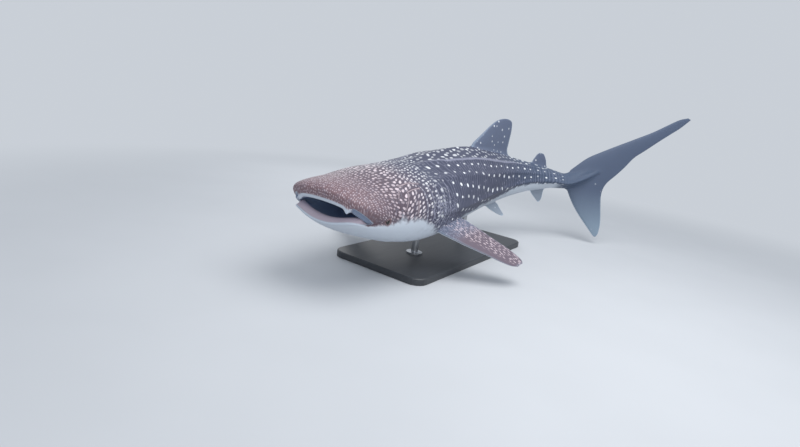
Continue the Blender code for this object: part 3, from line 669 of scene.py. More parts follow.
def mapBody(piece):
    mesh = piece.data
    along = pointValues(mesh, "along")
    arc = pointValues(mesh, "arc")
    angle = pointValues(mesh, "angle")
    lipAway = pointValues(mesh, "fromLip")
    kinds = pointValues(mesh, "kind")
    share = along / bodyLength
    dotCell = columnAt(markings["dotCell"], 1, share)
    setMap(mesh, "Skin", along, arc)
    setMap(mesh, "Dots", runningCount(markings["dotCell"], share), arc / bodyLength / dotCell)
    offset = np.where(angle < 0, 37.3, 0.0)
    setMap(mesh, "Rows", runningCount(markings["rowCell"], share) + offset, rowNumber(share, angle))
    edge = columnAt(markings["bellyEdge"], 1, share)
    halfGirth = 0.165 * bodyLength
    away = np.abs(angle)
    setMap(mesh, "Edge", (edge - away) / 180 * halfGirth, np.where(kinds > 1, 9, lipAway))
    setMap(mesh, "Around", away / 180, gillWindow(away, 8, 10) * (kinds > 1))
    setMap(mesh, "Fin", np.zeros(len(along)), np.ones(len(along)))
    setMap(mesh, "OFBake", 0.005 + (along + 0.42) / bakeReach, 0.185 + arc / bakeReach)


mapBody(skin)
setFaceNumber(skin.data, "part", 0)
weldAndClose(skin)
print("body closed:", len(skin.data.polygons), "faces")


# Fins

bakePlaces = {
    # left and bottom of the first face on the bake's sheet, and the step to its other face
    "caudal_fin": (0.01, 0.38, 0.285, 0.0),
    "first_dorsal_fin": (0.59, 0.38, 0.0, 0.105),
    "pectoral_fin_left": (0.59, 0.6, 0.0, 0.14),
    "pectoral_fin_right": (0.78, 0.6, 0.0, 0.14),
    "second_dorsal_fin": (0.83, 0.38, 0.0, 0.06),
    "anal_fin": (0.91, 0.38, 0.0, 0.06),
    "pelvic_fin_left": (0.83, 0.5, 0.0, 0.05),
    "pelvic_fin_right": (0.91, 0.5, 0.0, 0.05),
}


def finFrame(kindName):
    if kindName not in pairedFins:
        return None
    root, droop, pitch = pairedFins[kindName]
    droop, pitch = math.radians(droop), math.radians(pitch)
    out = np.array([0, math.cos(droop), -math.sin(droop)])
    back = np.array([math.cos(pitch), 0, math.sin(pitch)])
    back = back - out * (back @ out)
    back = back / np.linalg.norm(back)
    return np.array(root), out, back, np.cross(out, back)


def makeFin(name, number):
    kindName = name.removesuffix("_left").removesuffix("_right")
    side = -1 if name.endswith("_right") else 1
    rows = fins[kindName]
    rings, steps = finMesh[kindName]
    stations = np.arange(len(rows))
    curves = [curveThrough(rows, column, stations) for column in range(len(rows[0]))]
    u = (1 - np.cos(np.linspace(0, math.pi, steps))) / 2
    foil = 10 * (0.2969 * np.sqrt(u) - 0.126 * u - 0.3516 * u**2 + 0.2843 * u**3 - 0.1015 * u**4)
    foil = foil - foil[-1] * u    # both faces meet at the trailing edge
    frameOf = finFrame(kindName)
    grids = {1: [], -1: []}
    flat = []
    spans = np.linspace(0, len(rows) - 1, rings)
    for v in spans:
        row = [float(curve(v)) for curve in curves]
        if frameOf is None:
            lead, trail = np.array([row[0], 0, row[1]]), np.array([row[2], 0, row[3]])
            halfThick = row[4]
            normal = np.array([0.0, 1.0, 0.0])
            mirror = np.ones(3)
            sheetLead, sheetTrail = np.array([row[0], row[1]]), np.array([row[2], row[3]])
        else:
            root, out, back, normal = frameOf
            lead, trail = (root + out * row[0] + back * reach for reach in row[1:3])
            halfThick = row[3]
            mirror = np.array([1, side, 1])
            sheetLead, sheetTrail = np.array([row[1], row[0]]), np.array([row[2], row[0]])
        chord = lead + (trail - lead) * u[:, None]
        flat.append(sheetLead + (sheetTrail - sheetLead) * u[:, None])
        thick = halfThick * foil + 0.00025 * (1 - foil) * np.sin(math.pi * u)
        for face in (1, -1):
            line = (chord + face * normal * thick[:, None]) * mirror
            grids[face].append(placeOnBody(line[:, 0], line[:, 1], line[:, 2]))
    count = rings * steps
    quads = gridFaces(rings, steps)
    faces = np.concatenate([quads, quads[:, ::-1] + count])
    points = np.concatenate([np.array(grids[face]).reshape(-1, 3) for face in (1, -1)])
    sheet = np.tile(np.array(flat).reshape(-1, 2), (2, 1)) * bodyLength
    faceSide = np.repeat((1, -1), count)
    spanShare = np.tile(np.repeat(spans / (len(rows) - 1), steps), 2)
    chordShare = np.tile(u, 2 * rings)
    fin = meshFrom(name, points, faces)
    mesh = fin.data
    setMap(mesh, "Skin", sheet[:, 0] + 20 * number, sheet[:, 1] + (faceSide < 0) * 7)
    setMap(mesh, "Dots", sheet[:, 0] / 0.1 + 61 * number, sheet[:, 1] / 0.1 + (faceSide < 0) * 83)
    setMap(mesh, "Rows", sheet[:, 0] / 0.15 + 61 * number, sheet[:, 1] / 0.10)
    isPale = (faceSide > 0) & (kindName in pairedFins)
    setMap(mesh, "Edge", np.where(isPale, -0.3, 0.3), np.full(len(points), 9.0))
    setMap(mesh, "Around", spanShare, chordShare)
    toRim = np.minimum(1 - spanShare, np.minimum(chordShare, 1 - chordShare) * 2)
    setMap(mesh, "Fin", np.full(len(points), float(number)), toRim)
    left, low, stepAcross, stepUp = bakePlaces[name]
    across = left + (sheet[:, 0] - sheet[:, 0].min()) / bakeReach + (faceSide < 0) * stepAcross
    up = low + (sheet[:, 1] - sheet[:, 1].min()) / bakeReach + (faceSide < 0) * stepUp
    setMap(mesh, "OFBake", across, up)
    setFaceNumber(mesh, "part", number)
    weldAndClose(fin)
    return fin


finNames = ("caudal_fin", "first_dorsal_fin", "second_dorsal_fin", "anal_fin") + tuple(
    f"{kindName}_{word}" for kindName in pairedFins for word in ("left", "right")
)


def joinTo(piece, other):
    union = piece.modifiers.new("join", "BOOLEAN")
    union.operation = "UNION"
    union.solver = "MANIFOLD"
    union.object = other
    bpy.ops.object.select_all(action="DESELECT")
    bpy.context.view_layer.objects.active = piece
    bpy.ops.object.modifier_apply(modifier=union.name)
    bpy.data.objects.remove(other)


for number, name in enumerate(finNames, start=1):
    joinTo(skin, makeFin(name, number))
print("fins joined:", len(skin.data.polygons), "faces")


def softenRoots(piece, reach=0.055, rounds=26):
    mesh = piece.data
    partOf = fetch(mesh.attributes["part"].data, "value", numbers=np.int32)
    corners = cornerVertices(mesh)
    partOfCorner = np.repeat(partOf, fetch(mesh.polygons, "loop_total", numbers=np.int32))
    low = np.full(len(mesh.vertices), 99)
    high = np.full(len(mesh.vertices), -1)
    np.minimum.at(low, corners, partOfCorner)
    np.maximum.at(high, corners, partOfCorner)
    seam = np.flatnonzero(low != high)
    places = vertexPlaces(mesh)
    tree = kdtree.KDTree(len(seam))
    for index in seam:
        tree.insert(places[index], int(index))
    tree.balance()
    weight = np.zeros(len(places))
    for index, place in enumerate(places):
        distance = tree.find(place)[2]
        if distance < reach:
            weight[index] = 1 - ease(distance, reach * 0.25, reach)
    edges = fetch(mesh.edges, "vertices", 2, np.int32)
    near = (weight[edges[:, 0]] > 0) | (weight[edges[:, 1]] > 0)
    edges = edges[near]
    count = np.bincount(edges.ravel(), minlength=len(places)).astype(float)
    for _ in range(rounds):
        total = np.zeros_like(places)
        np.add.at(total, edges[:, 0], places[edges[:, 1]])
        np.add.at(total, edges[:, 1], places[edges[:, 0]])
        mean = total / np.maximum(count, 1)[:, None]
        places = places + (mean - places) * (0.6 * weight * (count > 0))[:, None]
    moveVertices(mesh, places)


softenRoots(skin)
skin.data.shade_smooth()
print("roots softened")


# Shader maths: a socket that takes part in Python expressions

class Value:
    def __init__(self, graph, socket):
        self.graph = graph
        self.socket = socket

    def __add__(self, other):
        return self.graph.math("ADD", self, other)

    __radd__ = __add__

    def __mul__(self, other):
        return self.graph.math("MULTIPLY", self, other)

    __rmul__ = __mul__

    def __sub__(self, other):
        return self.graph.math("SUBTRACT", self, other)

    def __rsub__(self, other):
        return self.graph.math("SUBTRACT", other, self)

    def __truediv__(self, other):
        return self.graph.math("DIVIDE", self, other)


class Graph:
    def __init__(self, name):
        self.material = bpy.data.materials.new(name)
        self.material.use_nodes = True
        self.tree = self.material.node_tree
        self.shader = self.tree.nodes["Principled BSDF"]

    def put(self, socket, value):
        if isinstance(value, Value):
            self.tree.links.new(value.socket, socket)
        elif value is not None:
            socket.default_value = value

    def node(self, kindName, settings=None, inputs=None, output=0):
        made = self.tree.nodes.new(kindName)
        for key, value in (settings or {}).items():
            setattr(made, key, value)
        for key, value in (inputs or {}).items():
            self.put(made.inputs[key], value)
        return Value(self, made.outputs[output])

    def math(self, operation, a, b=None, clamp=False):
        return self.node("ShaderNodeMath", {"operation": operation, "use_clamp": clamp}, {0: a, 1: b})

    def vector(self, operation, a, b=None, output=0):
        return self.node("ShaderNodeVectorMath", {"operation": operation}, {0: a, 1: b}, output)

    def clamp(self, value):
        return self.math("ADD", value, 0.0, clamp=True)

    def least(self, a, b):
        return self.math("MINIMUM", a, b)

    def most(self, a, b):
        return self.math("MAXIMUM", a, b)

    def step(self, value, start, end):    # 0 before start, 1 after end, smooth between
        return self.node(
            "ShaderNodeMapRange",
            {"interpolation_type": "SMOOTHSTEP", "clamp": True},
            {"Value": value, "From Min": start, "From Max": end, "To Min": 0.0, "To Max": 1.0},
        )

    def within(self, value, start, full, fade, end):    # 1 between full and fade, 0 outside start and end
        return self.step(value, start, full) * (1.0 - self.step(value, fade, end))

    def mix(self, a, b, share):
        return self.node("ShaderNodeMix", {"data_type": "RGBA"}, {0: share, 6: a, 7: b}, 2)

    def uv(self, name):
        return self.node("ShaderNodeUVMap", {"uv_map": name})

    def parts(self, vector):
        made = self.tree.nodes.new("ShaderNodeSeparateXYZ")
        self.put(made.inputs[0], vector)
        return Value(self, made.outputs[0]), Value(self, made.outputs[1])

    def join(self, x, y, z=0.0):
        return self.node("ShaderNodeCombineXYZ", {}, {0: x, 1: y, 2: z})

    def noise(self, vector, scale, detail=2.0, roughness=0.5, colour=False):
        return self.node(
            "ShaderNodeTexNoise",
            {"noise_dimensions": "3D"},
            {"Vector": vector, "Scale": scale, "Detail": detail, "Roughness": roughness},
            1 if colour else 0,
        )

    def cells(self, vector, randomness):
        made = self.tree.nodes.new("ShaderNodeTexVoronoi")
        made.voronoi_dimensions = "2D"
        made.feature = "F1"
        self.put(made.inputs["Vector"], vector)
        made.inputs["Scale"].default_value = 1.0
        made.inputs["Randomness"].default_value = randomness
        return Value(self, made.outputs["Distance"]), Value(self, made.outputs["Color"])


def colour(r, g, b):    # linear from screen values
    def linear(c):
        c = c / 255
        return c / 12.92 if c <= 0.04045 else ((c + 0.055) / 1.055) ** 2.4
    return (linear(r), linear(g), linear(b), 1.0)


skinLook = {
    "slate": colour(64, 68, 88),
    "slateLight": colour(96, 98, 114),
    "stalk": colour(74, 88, 110),
    "headDark": colour(88, 76, 86),
    "snout": colour(138, 110, 114),
    "dots": colour(214, 198, 204),
    "spots": colour(240, 243, 246),
    "bars": colour(146, 148, 166),
    "belly": colour(190, 198, 208),
    "lip": colour(192, 202, 214),
    "fold": colour(112, 124, 146),
    "lipPad": colour(190, 177, 188),
    "mouth": colour(150, 168, 196),
    # painted shade: the dark laid into the gill slits and the spiracles' holes
    "pit": colour(34, 28, 34),
    "eyeRim": colour(112, 88, 90),
    "fin": colour(90, 100, 122),
    "finTip": colour(172, 190, 206),
    "pectoral": colour(104, 90, 100),
    "lobe": colour(140, 158, 174),
    "lowerFin": colour(148, 158, 170),
    "headMottle": colour(88, 74, 84),
    "shade": colour(56, 58, 76),
    "bellyWarm": colour(190, 192, 200),
}

pattern = {
    # noises, per metre
    "wobble": 9.0,
    "fine": 60.0,
    "broad": 2.2,
    "mottle": 26.0,
    "net": 30.0,
    "wrinkles": 34.0,
    "grain": 240.0,
    # shares of the length between which a ground or a pattern fades in or out
    "headEnds": (0.07, 0.19),
    "snoutEnds": (-0.03, 0.085),
    "stalkStarts": (0.42, 0.74),
    "backStarts": (0.10, 0.24),
    "dotsGrow": (0.03, 0.10),
    "dotsClear": (0.02, 0.10),
    "gillsStart": (0.115, 0.145),
    "sideDotsEnd": (0.150, 0.195),
    "backDotsEnd": (0.70, 0.76),
    "rowsEnd": (0.715, 0.770),
    "bellyEnds": (0.715, 0.745),
    "shoulder": (0.135, 0.165, 0.215, 0.245),
    "ridgeLine": (0.17, 0.25, 0.56, 0.68),
    # in cells of the maps: scatter, size and softness of the dots and of the rows
    "dots": (0.55, 0.20, 0.07),
    "dotLean": (0.68, 0.24, 0.8),    # stretch along the body, slant, wander
    "rows": (0.22, 0.095, 0.035),
    "barsPerRow": 3,
    "eyeRim": (0.024, 0.044),        # metres from the centre where it is full and ends
    # painted shade in the spiracles: metres from the centre where it is full and ends
    "spiracleShade": (0.006, 0.013),
    "bump": (0.25, 0.005),
}

squiggles = (
    # pale lines behind the eye, along and around the side, in shares of the length
    ((0.09, 0.0582), (0.1, 0.0588), (0.112, 0.06), (0.125, 0.0618), (0.137, 0.0644)),
    (
        (0.129, 0.0726), (0.112, 0.0724), (0.0985, 0.073),
        (0.0952, 0.0785), (0.0939, 0.0847), (0.0833, 0.0962),
    ),
    ((0.1145, 0.0902), (0.114, 0.099), (0.1118, 0.1082)),
    ((0.0815, 0.0684), (0.0755, 0.0764)),
)


def paint(g, body, *layers):    # named colours laid over one another, each with its share
    for name, share in layers:
        body = g.mix(body, skinLook[name], share)
    return body


def band(g, value, centre, inner, outer):    # 1 within inner of the centre, 0 past outer
    return 1.0 - g.step(g.math("ABSOLUTE", value - centre), inner, outer)


def lineNearness(g, here):    # distance to the nearest of the pale lines
    nearest = None
    for path in squiggles:
        for start, stop in zip(path, path[1:]):
            a = (start[0], start[1], 0.0)
            ab = (stop[0] - start[0], stop[1] - start[1], 0.0)
            away = g.vector("SUBTRACT", here, a)
            perLength = 1.0 / (ab[0] ** 2 + ab[1] ** 2)
            t = g.math("MULTIPLY", g.vector("DOT_PRODUCT", away, ab, 1), perLength, clamp=True)
            on = g.node("ShaderNodeVectorMath", {"operation": "SCALE"}, {0: ab, "Scale": t})
            distance = g.vector("DISTANCE", away, on, 1)
            nearest = distance if nearest is None else g.least(nearest, distance)
    return nearest


def skinMaterial():
    g = Graph("shark_skin")
    look, p = skinLook, pattern
    along, arc = g.parts(g.uv("Skin"))
    dotX, dotY = g.parts(g.uv("Dots"))
    rowX, rowY = g.parts(g.uv("Rows"))
    edge, lipAway = g.parts(g.uv("Edge"))
    around, window = g.parts(g.uv("Around"))    # on the fins these are the shares of span and chord
    finCode, finEdge = g.parts(g.uv("Fin"))
    space = g.node("ShaderNodeTexCoord", {}, {}, 3)
    isFin = g.step(finCode, 0.4, 0.6)
    isBody = 1.0 - isFin
    pectoral = g.within(finCode, 4.5, 4.6, 6.5, 6.6)
    tail = isFin * (1.0 - g.step(finCode, 1.4, 1.6))
    share = along / bodyLength
    wobbleX, wobbleY = g.parts(g.noise(space, p["wobble"], 2.0, colour=True))
    fine = g.noise(space, p["fine"], 3.0)
    broad = g.noise(space, p["broad"], 3.0)
    mottle = g.noise(space, p["mottle"], 4.0, 0.6)

    # ground colour, from the rosy snout to the blue grey stalk
    headness = 1.0 - g.step(share + (wobbleX - 0.5) * 0.03, *p["headEnds"])
    snoutness = 1.0 - g.step(share, *p["snoutEnds"])
    body = paint(
        g, look["slate"],
        ("stalk", g.step(share, *p["stalkStarts"])),
        ("slateLight", g.clamp((mottle - 0.42) * 1.5) * 0.55),
        ("headDark", headness),
        ("snout", snoutness * (0.45 + 0.5 * broad)),
        ("headMottle", g.clamp((0.52 - mottle) * 2.2) * headness * 0.6),
    )

    # dots on the head and back, small on the snout, larger and slanting on the back
    backness = 1.0 - g.step(rowY + (wobbleY - 0.5) * 0.10, -0.22, 0.02)
    onBack = g.step(share, *p["backStarts"]) * (1.0 - g.step(around, 0.16, 0.30))
    frontness = 1.0 - g.step(share + (wobbleY - 0.5) * 0.04 - edge * 0.03, *p["sideDotsEnd"])
    scatter, size, soft = p["dots"]
    stretch, slant, wander = p["dotLean"]
    dotU = dotX * stretch + (wobbleX - 0.5) * wander
    dotV = dotY + dotX * slant + (wobbleY - 0.5) * wander
    far, tint = g.cells(g.join(dotU, dotV), scatter)
    tintX, tintY = g.parts(tint)
    atGills = g.step(share, *p["gillsStart"]) * (1.0 - onBack)
    big = g.step(share, *p["dotsGrow"]) * (1.0 - 0.45 * atGills)
    size = size + 0.06 * big + tintX * 0.10 - 0.07 * onBack - 0.02 * atGills
    dots = 1.0 - g.step(far, size - soft, size + soft)
    dotZone = g.most(frontness, backness) * isBody * (1.0 - g.step(share, *p["backDotsEnd"]))
    atCorner = band(g, around, 0.47, 0.05, 0.13) * (1.0 - g.step(lipAway, 0.06, 0.17))    # dots stretch there
    strength = (0.38 + tintY * 0.62) * (0.68 + 0.32 * g.step(share, *p["dotsClear"]))
    strength = strength * (1.0 - 0.25 * atGills - 0.22 * onBack) * (1.0 - 0.85 * atCorner)
    body = g.mix(body, g.mix(look["spots"], look["dots"], headness), dots * dotZone * strength)

    # a fine net of squiggles between the dots and over the pectoral's base
    netWave = g.noise(g.vector("MULTIPLY", space, (1.0, 1.0, 0.7)), p["net"], 2.0, 0.55)
    net = band(g, netWave, 0.5, 0.012, 0.040)
    shoulder = g.within(share, *p["shoulder"]) * g.step(around, 0.36, 0.46)
    body = paint(g, body, ("bars", net * isBody * g.clamp(0.22 * frontness + 0.75 * shoulder)))

    # rows of white spots and thin bars between them on the flank
    flank = (1.0 - g.most(frontness, backness)) * isBody * (1.0 - g.step(share, *p["rowsEnd"]))
    lean = g.clamp(rowY * 0.2) * (1.0 - g.step(share, 0.22, 0.34)) * 1.1
    rowU = rowX + (wobbleX - 0.5) * 0.22
    rowV = rowY + (wobbleY - 0.5) * 0.14
    scatter, size, soft = p["rows"]
    near, rowTint = g.cells(g.join(rowU * 1.05, rowV + 0.5), scatter)
    rowTintX, rowTintY = g.parts(rowTint)
    rowSize = size + rowTintX * 0.045
    spots = (1.0 - g.step(near, rowSize - soft, rowSize + soft)) * flank
    sway = g.noise(space, 3.2, 2.0) * 0.7
    barWave = g.math("PINGPONG", rowU - lean + sway + (fine - 0.5) * 0.03, 0.5 / p["barsPerRow"])
    bars = (1.0 - g.step(barWave, 0.012, 0.058)) * flank * g.clamp(g.noise(space, 7.0, 2.0) * 2.0 - 0.45)
    small, smallTint = g.cells(g.join(rowU * 3.0, rowV * 2.1), 0.9)
    smallSpots = (1.0 - g.step(small, 0.08, 0.20)) * flank * g.step(g.parts(smallTint)[0], 0.62, 0.66)
    body = paint(
        g, body,
        ("shade", g.step(barWave, 0.10, 0.165) * flank * 0.55),
        ("bars", bars * 0.46),
        ("bars", smallSpots * 0.6),
        ("spots", spots * (0.55 + 0.45 * rowTintY)),
    )

    # pale line on the first ridge, and pale lines behind the eye
    line = band(g, rowY + (wobbleX - 0.5) * 0.06, -0.03, 0.02, 0.10) * isBody
    bentX = share + (wobbleX - 0.5) * 0.006
    bentY = g.math("ABSOLUTE", arc) / bodyLength + (wobbleY - 0.5) * 0.006
    nearest = lineNearness(g, g.join(bentX, bentY)) + (fine - 0.5) * 0.0012
    body = paint(
        g, body,
        ("bars", line * g.within(share, *p["ridgeLine"]) * 0.62),
        ("headDark", (1.0 - g.step(nearest, 0.0012, 0.0030)) * isBody * 0.85),
        ("dots", (1.0 - g.step(nearest, 0.0003, 0.0010)) * isBody * 0.46),
    )

    # gill slits: painted shadow, a dark line behind the pale rear edge of each flap
    for slit in gills["slits"]:
        paleEdge = band(g, share, slit - 0.0014, 0.0004, 0.0018) * window * isBody
        shadowLine = band(g, share, slit + 0.0011, 0.0006, 0.0024) * window * isBody
        body = paint(g, body, ("bars", paleEdge * 0.55), ("pit", shadowLine * 0.85))

    # fins: mottled slate, the tail's lower lobe paler, the small lower fins pale
    lower = g.step(finCode, 3.4, 3.6) * (1.0 - pectoral)
    lobe = tail * (1.0 - g.step(around, 0.10, 0.42))
    streak = g.noise(g.vector("MULTIPLY", g.join(dotX, dotY), (1.6, 0.5, 1.0)), 3.5, 3.0, 0.6)
    finGround = paint(
        g, look["fin"],
        ("slateLight", g.clamp((mottle - 0.40) * 1.8) * 0.6),
        ("stalk", tail * 0.6),
        ("lobe", lobe * 0.8),
        ("lowerFin", lower * 0.8),
        ("pectoral", pectoral * g.step(around, 0.16, 0.42) * 0.9),
        ("slateLight", pectoral * g.clamp((streak - 0.5) * 2.5) * 0.5),
    )
    body = g.mix(body, finGround, isFin)
    finFar, finTint = g.cells(g.join(dotX * 1.15, dotY * 1.15), 0.8)
    finTintX, finTintY = g.parts(finTint)
    nearRoot = band(g, around, 0.40, 0.04, 0.14) * (1.0 - g.step(window, 0.25, 0.50))
    chance = 0.70 - tail * (0.67 - 0.35 * nearRoot) - lower * 0.60
    finSize = 0.07 + 0.07 * finTintX
    finSpots = (1.0 - g.step(finFar, finSize - 0.03, finSize + 0.035)) * isFin * (1.0 - pectoral)
    finSpots = finSpots * g.step(chance - finTintY, 0.0, 0.02) * g.step(finEdge, 0.04, 0.10)
    pecFar, pecTint = g.cells(g.join(dotX * 4.4 - dotY * 2.1, dotY * 1.65 + dotX * 1.0), 0.75)
    pecTintX, pecTintY = g.parts(pecTint)
    pecSize = 0.17 + 0.14 * pecTintX
    pecSpots = (1.0 - g.step(pecFar, pecSize - 0.05, pecSize + 0.08)) * pectoral * (0.42 + 0.58 * pecTintY)
    rim = (1.0 - g.step(finEdge + (wobbleX - 0.5) * 0.05, 0.01, 0.10)) * isFin
    body = paint(
        g, body,
        ("spots", finSpots * 0.62),
        ("dots", pecSpots * g.step(window, 0.12, 0.34)),
        ("bars", net * pectoral * (1.0 - g.step(around, 0.26, 0.40)) * 0.7),
        ("finTip", rim * (0.22 - 0.22 * tail + 0.7 * g.most(lobe, lower))),
    )

    # belly
    ragged = (wobbleX - 0.5) * 0.10 + (mottle - 0.5) * 0.07 + (fine - 0.5) * 0.03
    belly = 1.0 - g.step(edge + ragged, -0.030, 0.025)
    belly = belly * (1.0 - g.step(share, *p["bellyEnds"]) * isBody)
    bellyColour = g.mix(look["belly"], look["bellyWarm"], g.clamp((broad - 0.4) * 1.5) * 0.6)
    body = g.mix(body, bellyColour, belly)

    # lips and mouth: pale rims, the slate fold by the corner and the broad inner lip of the jaw
    below = g.step(around, 0.49, 0.52)
    foldZone = g.step(around, 0.235, 0.262) * (1.0 - below)
    inside = 1.0 - g.step(lipAway, -0.030, -0.014)
    upperRim = band(g, lipAway, 0.004, 0.012, 0.022) * (1.0 - below) * (1.0 - foldZone)
    foldRim = band(g, lipAway, -0.006, 0.004, 0.010) * foldZone
    lowerRim = band(g, lipAway, 0.004, 0.005, 0.014) * below
    body = paint(
        g, body,
        ("fold", band(g, lipAway, 0.016, 0.016, 0.026) * foldZone),
        ("lip", band(g, lipAway, 0.036, 0.002, 0.009) * foldZone * 0.8),
        ("mouth", inside),
        ("lipPad", g.within(lipAway, -0.096, -0.080, -0.008, 0.004) * below),
        ("lip", band(g, lipAway, -0.088, 0.003, 0.012) * below * 0.55),
        ("lip", g.most(g.most(upperRim, foldRim), lowerRim) * 0.92),
    )

    # rims of the eyes, and painted shade in the spiracles' holes
    for side in (1, -1):
        for feature, dark, (full, end) in ((eye, "eyeRim", p["eyeRim"]), (spiracle, "pit", p["spiracleShade"])):
            centre = tuple(float(v) for v in mirrored(feature["place"], side))
            away = g.vector("DISTANCE", space, centre, 1) + (mottle - 0.5) * 0.012
            body = paint(g, body, (dark, (1.0 - g.step(away, full, end)) * isBody * 0.85))

    g.put(g.shader.inputs["Base Color"], body)
    g.put(g.shader.inputs["Roughness"], 0.46 + mottle * 0.18 + belly * 0.05 - inside * 0.08)
    g.shader.inputs["Specular IOR Level"].default_value = 0.30
    grain = g.noise(space, p["grain"], 3.0, 0.6)
    wrinkles = g.noise(g.vector("MULTIPLY", space, (1.0, 1.0, 2.2)), p["wrinkles"], 4.0, 0.6)
    height = grain * 0.35 + wrinkles * 0.9 - spots * 0.15
    strength, distance = p["bump"]
    bump = g.node("ShaderNodeBump", {}, {"Strength": strength, "Distance": distance, "Height": height})
    g.put(g.shader.inputs["Normal"], bump)
    return g.material


skin.data.materials.clear()
skin.data.materials.append(skinMaterial())
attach(skin, "root")
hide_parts("head", "lower_jaw", "gill_region", "torso", "tail", *finNames)
print("skin finished:", sum(len(face.vertices) - 2 for face in skin.data.polygons), "triangles")


# Eyes: a ball turned to look outwards, with a raised cornea over iris and pupil

eyeLook = {
    "pupil": colour(5, 5, 7),
    "iris": colour(46, 40, 38),
    "white": colour(40, 36, 38),
    "pupilEdge": (0.135, 0.165),    # from the pole of the ball, as shares of the way to the other pole
    "irisEdge": (0.24, 0.28),
    "front": 0.80,                  # the cornea is what lies farther out than this share of the radius
    "cornea": 0.0012,
}


def eyeMaterial():
    g = Graph("shark_eye")
    space = g.node("ShaderNodeTexCoord", {}, {}, 3)
    _, fromPole = g.parts(g.uv("UVMap"))
    fibres = g.noise(space, 320.0, 3.0)
    turn = 1.0 - fromPole + (fibres - 0.5) * 0.02
    iris = g.step(turn, *eyeLook["pupilEdge"]) * (0.5 + 0.5 * fibres)
    look = g.mix(eyeLook["pupil"], eyeLook["iris"], iris)
    look = g.mix(look, eyeLook["white"], g.step(turn, *eyeLook["irisEdge"]))
    g.put(g.shader.inputs["Base Color"], look)
    g.shader.inputs["Roughness"].default_value = 0.16
    g.shader.inputs["Coat Weight"].default_value = 0.3
    return g.material


eyeFinish = eyeMaterial()
for word, side in (("left", 1), ("right", -1)):
    low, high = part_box(f"eye_{word}")
    centre = (low + high) / 2
    radius = (high.z - low.z) / 2 - 0.0005
    inner = (eye["place"][0] + 0.02, 0.0, eye["place"][2])
    outward = Vector(mirrored(eye["place"], side)) - Vector(mirrored(inner, side))
    outward.normalize()
    turn = outward.to_track_quat("Z", "Y").to_euler()
    bpy.ops.object.select_all(action="DESELECT")
    bpy.ops.mesh.primitive_uv_sphere_add(
        segments=48, ring_count=32, radius=radius, location=centre, rotation=turn
    )
    ball = bpy.context.object
    ball.name = f"eyeball_{word}"
    bpy.ops.object.transform_apply(location=True, rotation=True, scale=True)
    for face in ball.data.polygons:
        face.select = (face.center - centre).dot(outward) > radius * eyeLook["front"]
    bpy.ops.object.mode_set(mode="EDIT")
    bpy.ops.mesh.select_mode(type="FACE")
    bpy.ops.mesh.inset(thickness=0.0010, use_boundary=True)
    bpy.ops.transform.translate(value=outward * eyeLook["cornea"])
    bpy.ops.object.mode_set(mode="OBJECT")
    bpy.ops.object.shade_smooth()
    ball.data.materials.append(eyeFinish)
    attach(ball, "root")
    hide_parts(f"eye_{word}")
print("eyes done")


# Stand

def paintMaterial():
    g = Graph("stand_paint")
    space = g.node("ShaderNodeTexCoord", {}, {}, 3)
    grain = g.noise(g.vector("MULTIPLY", space, (0.6, 9.0, 9.0)), 6.0, 4.0, 0.6)
    g.put(g.shader.inputs["Base Color"], g.mix(colour(44, 47, 52), colour(62, 65, 70), grain))
    g.put(g.shader.inputs["Roughness"], 0.38 + grain * 0.18)
    bump = g.node("ShaderNodeBump", {}, {"Strength": 0.15, "Distance": 0.002, "Height": grain})
    g.put(g.shader.inputs["Normal"], bump)
    return g.material


def steelMaterial():
    g = Graph("brushed_rod")
    space = g.node("ShaderNodeTexCoord", {}, {}, 3)
    grain = g.noise(g.vector("MULTIPLY", space, (30.0, 30.0, 1.5)), 20.0, 3.0, 0.6)
    g.put(g.shader.inputs["Base Color"], g.mix(colour(150, 153, 158), colour(186, 188, 192), grain))
    g.shader.inputs["Metallic"].default_value = 1.0
    g.put(g.shader.inputs["Roughness"], 0.26 + grain * 0.16)
    return g.material


for node, makeLook in (
    ("stand_base", paintMaterial),
    ("stand_rod_front", steelMaterial),
    ("stand_rod_rear", steelMaterial),
):
    look = makeLook()
    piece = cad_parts[node]
    piece.data.materials.clear()
    piece.data.materials.append(look)
print("stand done")


# Floor, light and camera

studio = {
    "reach": 120.0,           # the floor runs far out, where it takes on the backdrop's own light
    "height": -0.001,
    "fade": (3.0, 8.0),
    "floor": colour(197, 200, 204),
    "patch": colour(191, 194, 198),
    "backdrop": colour(206, 212, 220),
    "backdropStrength": 0.95,
}


def floorMaterial():
    g = Graph("floor")
    space = g.node("ShaderNodeTexCoord", {}, {}, 3)
    g.put(g.shader.inputs["Base Color"], g.mix(studio["floor"], studio["patch"], g.noise(space, 1.2, 2.0)))
    g.shader.inputs["Roughness"].default_value = 0.8
    outFrom = g.vector("LENGTH", space, None, 1)
    far = g.step(outFrom, *studio["fade"])
    light = {"Color": studio["backdrop"], "Strength": studio["backdropStrength"]}
    glow = g.node("ShaderNodeEmission", {}, light)
    both = g.node("ShaderNodeMixShader", {}, {0: far, 1: Value(g, g.shader.outputs[0]), 2: glow})
    g.put(g.tree.nodes["Material Output"].inputs["Surface"], both)
    return g.material


bpy.ops.object.select_all(action="DESELECT")
bpy.ops.mesh.primitive_circle_add(
    vertices=64, radius=studio["reach"], fill_type="NGON", location=(0, 0, studio["height"])
)
floor = bpy.context.object
floor.name = "floor"
bpy.ops.object.transform_apply(location=True, rotation=True, scale=True)
floor.data.materials.append(floorMaterial())

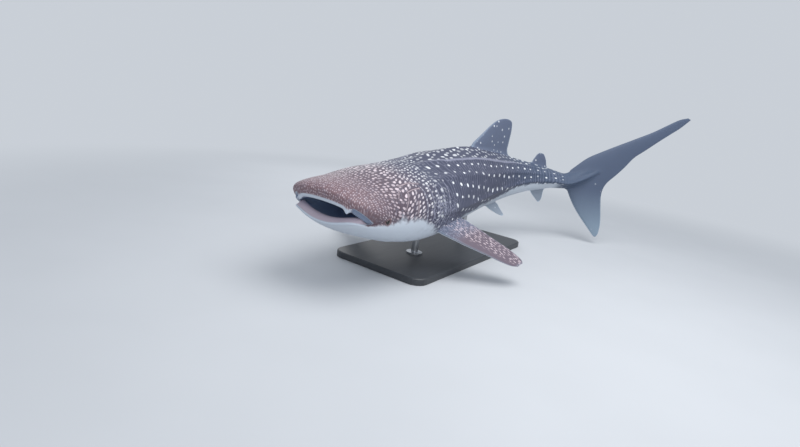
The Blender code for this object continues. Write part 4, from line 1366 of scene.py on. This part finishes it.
world = bpy.data.worlds.new("studio")
bpy.context.scene.world = world
world.use_nodes = True
backdrop = world.node_tree.nodes["Background"].inputs
backdrop["Color"].default_value = studio["backdrop"]
backdrop["Strength"].default_value = studio["backdropStrength"]
bpy.context.scene.view_settings.view_transform = "Standard"

lights = (
    # name, place, aimed at, size, watts
    ("overhead", (-1.0, -1.6, 5.2), (0, 0, 0.6), 4.0, 230),
    ("cameraSide", (-5.0, -5.0, 2.8), (-0.8, 0.2, 0.7), 3.0, 90),
    ("farSide", (2.5, 5.0, 3.0), (0.2, 0, 0.8), 3.0, 60),
)
for name, place, aim, size, watts in lights:
    data = bpy.data.lights.new(name, "AREA")
    data.size = size
    data.energy = watts
    lamp = bpy.data.objects.new(name, data)
    bpy.context.scene.collection.objects.link(lamp)
    lamp.location = place
    lamp.rotation_euler = (Vector(aim) - Vector(place)).to_track_quat("-Z", "Y").to_euler()

view = {
    "azimuth": -56.479,
    "elevation": 13.646,
    "roll": 8.142,
    "distance": 0.798,             # in lengths of the body, as the aim is
    "aim": (0.193, 0.0, -0.057),
    "focal": 479.2,                # in pixels of an image of this width
    "width": 800,
    "sensor": 36.0,
}


def makeCamera():
    a, e, r = (math.radians(view[key]) for key in ("azimuth", "elevation", "roll"))
    back = Vector((math.sin(a) * math.cos(e), -math.cos(a) * math.cos(e), math.sin(e)))
    right = (-back).cross(Vector((0, 0, 1))).normalized()
    up = right.cross(-back)
    across = right * math.cos(r) + up * math.sin(r)
    upward = up * math.cos(r) - right * math.sin(r)
    place = (Vector(view["aim"]) + back * view["distance"]) * bodyLength + Vector(originShift)
    data = bpy.data.cameras.new("camera")
    data.sensor_width = view["sensor"]
    data.lens = view["sensor"] * view["focal"] / view["width"]
    camera = bpy.data.objects.new("camera", data)
    bpy.context.scene.collection.objects.link(camera)
    turn = Matrix((across, upward, back)).transposed().to_4x4()
    camera.matrix_world = Matrix.Translation(place) @ turn
    bpy.context.scene.camera = camera


makeCamera()
print("camera done")
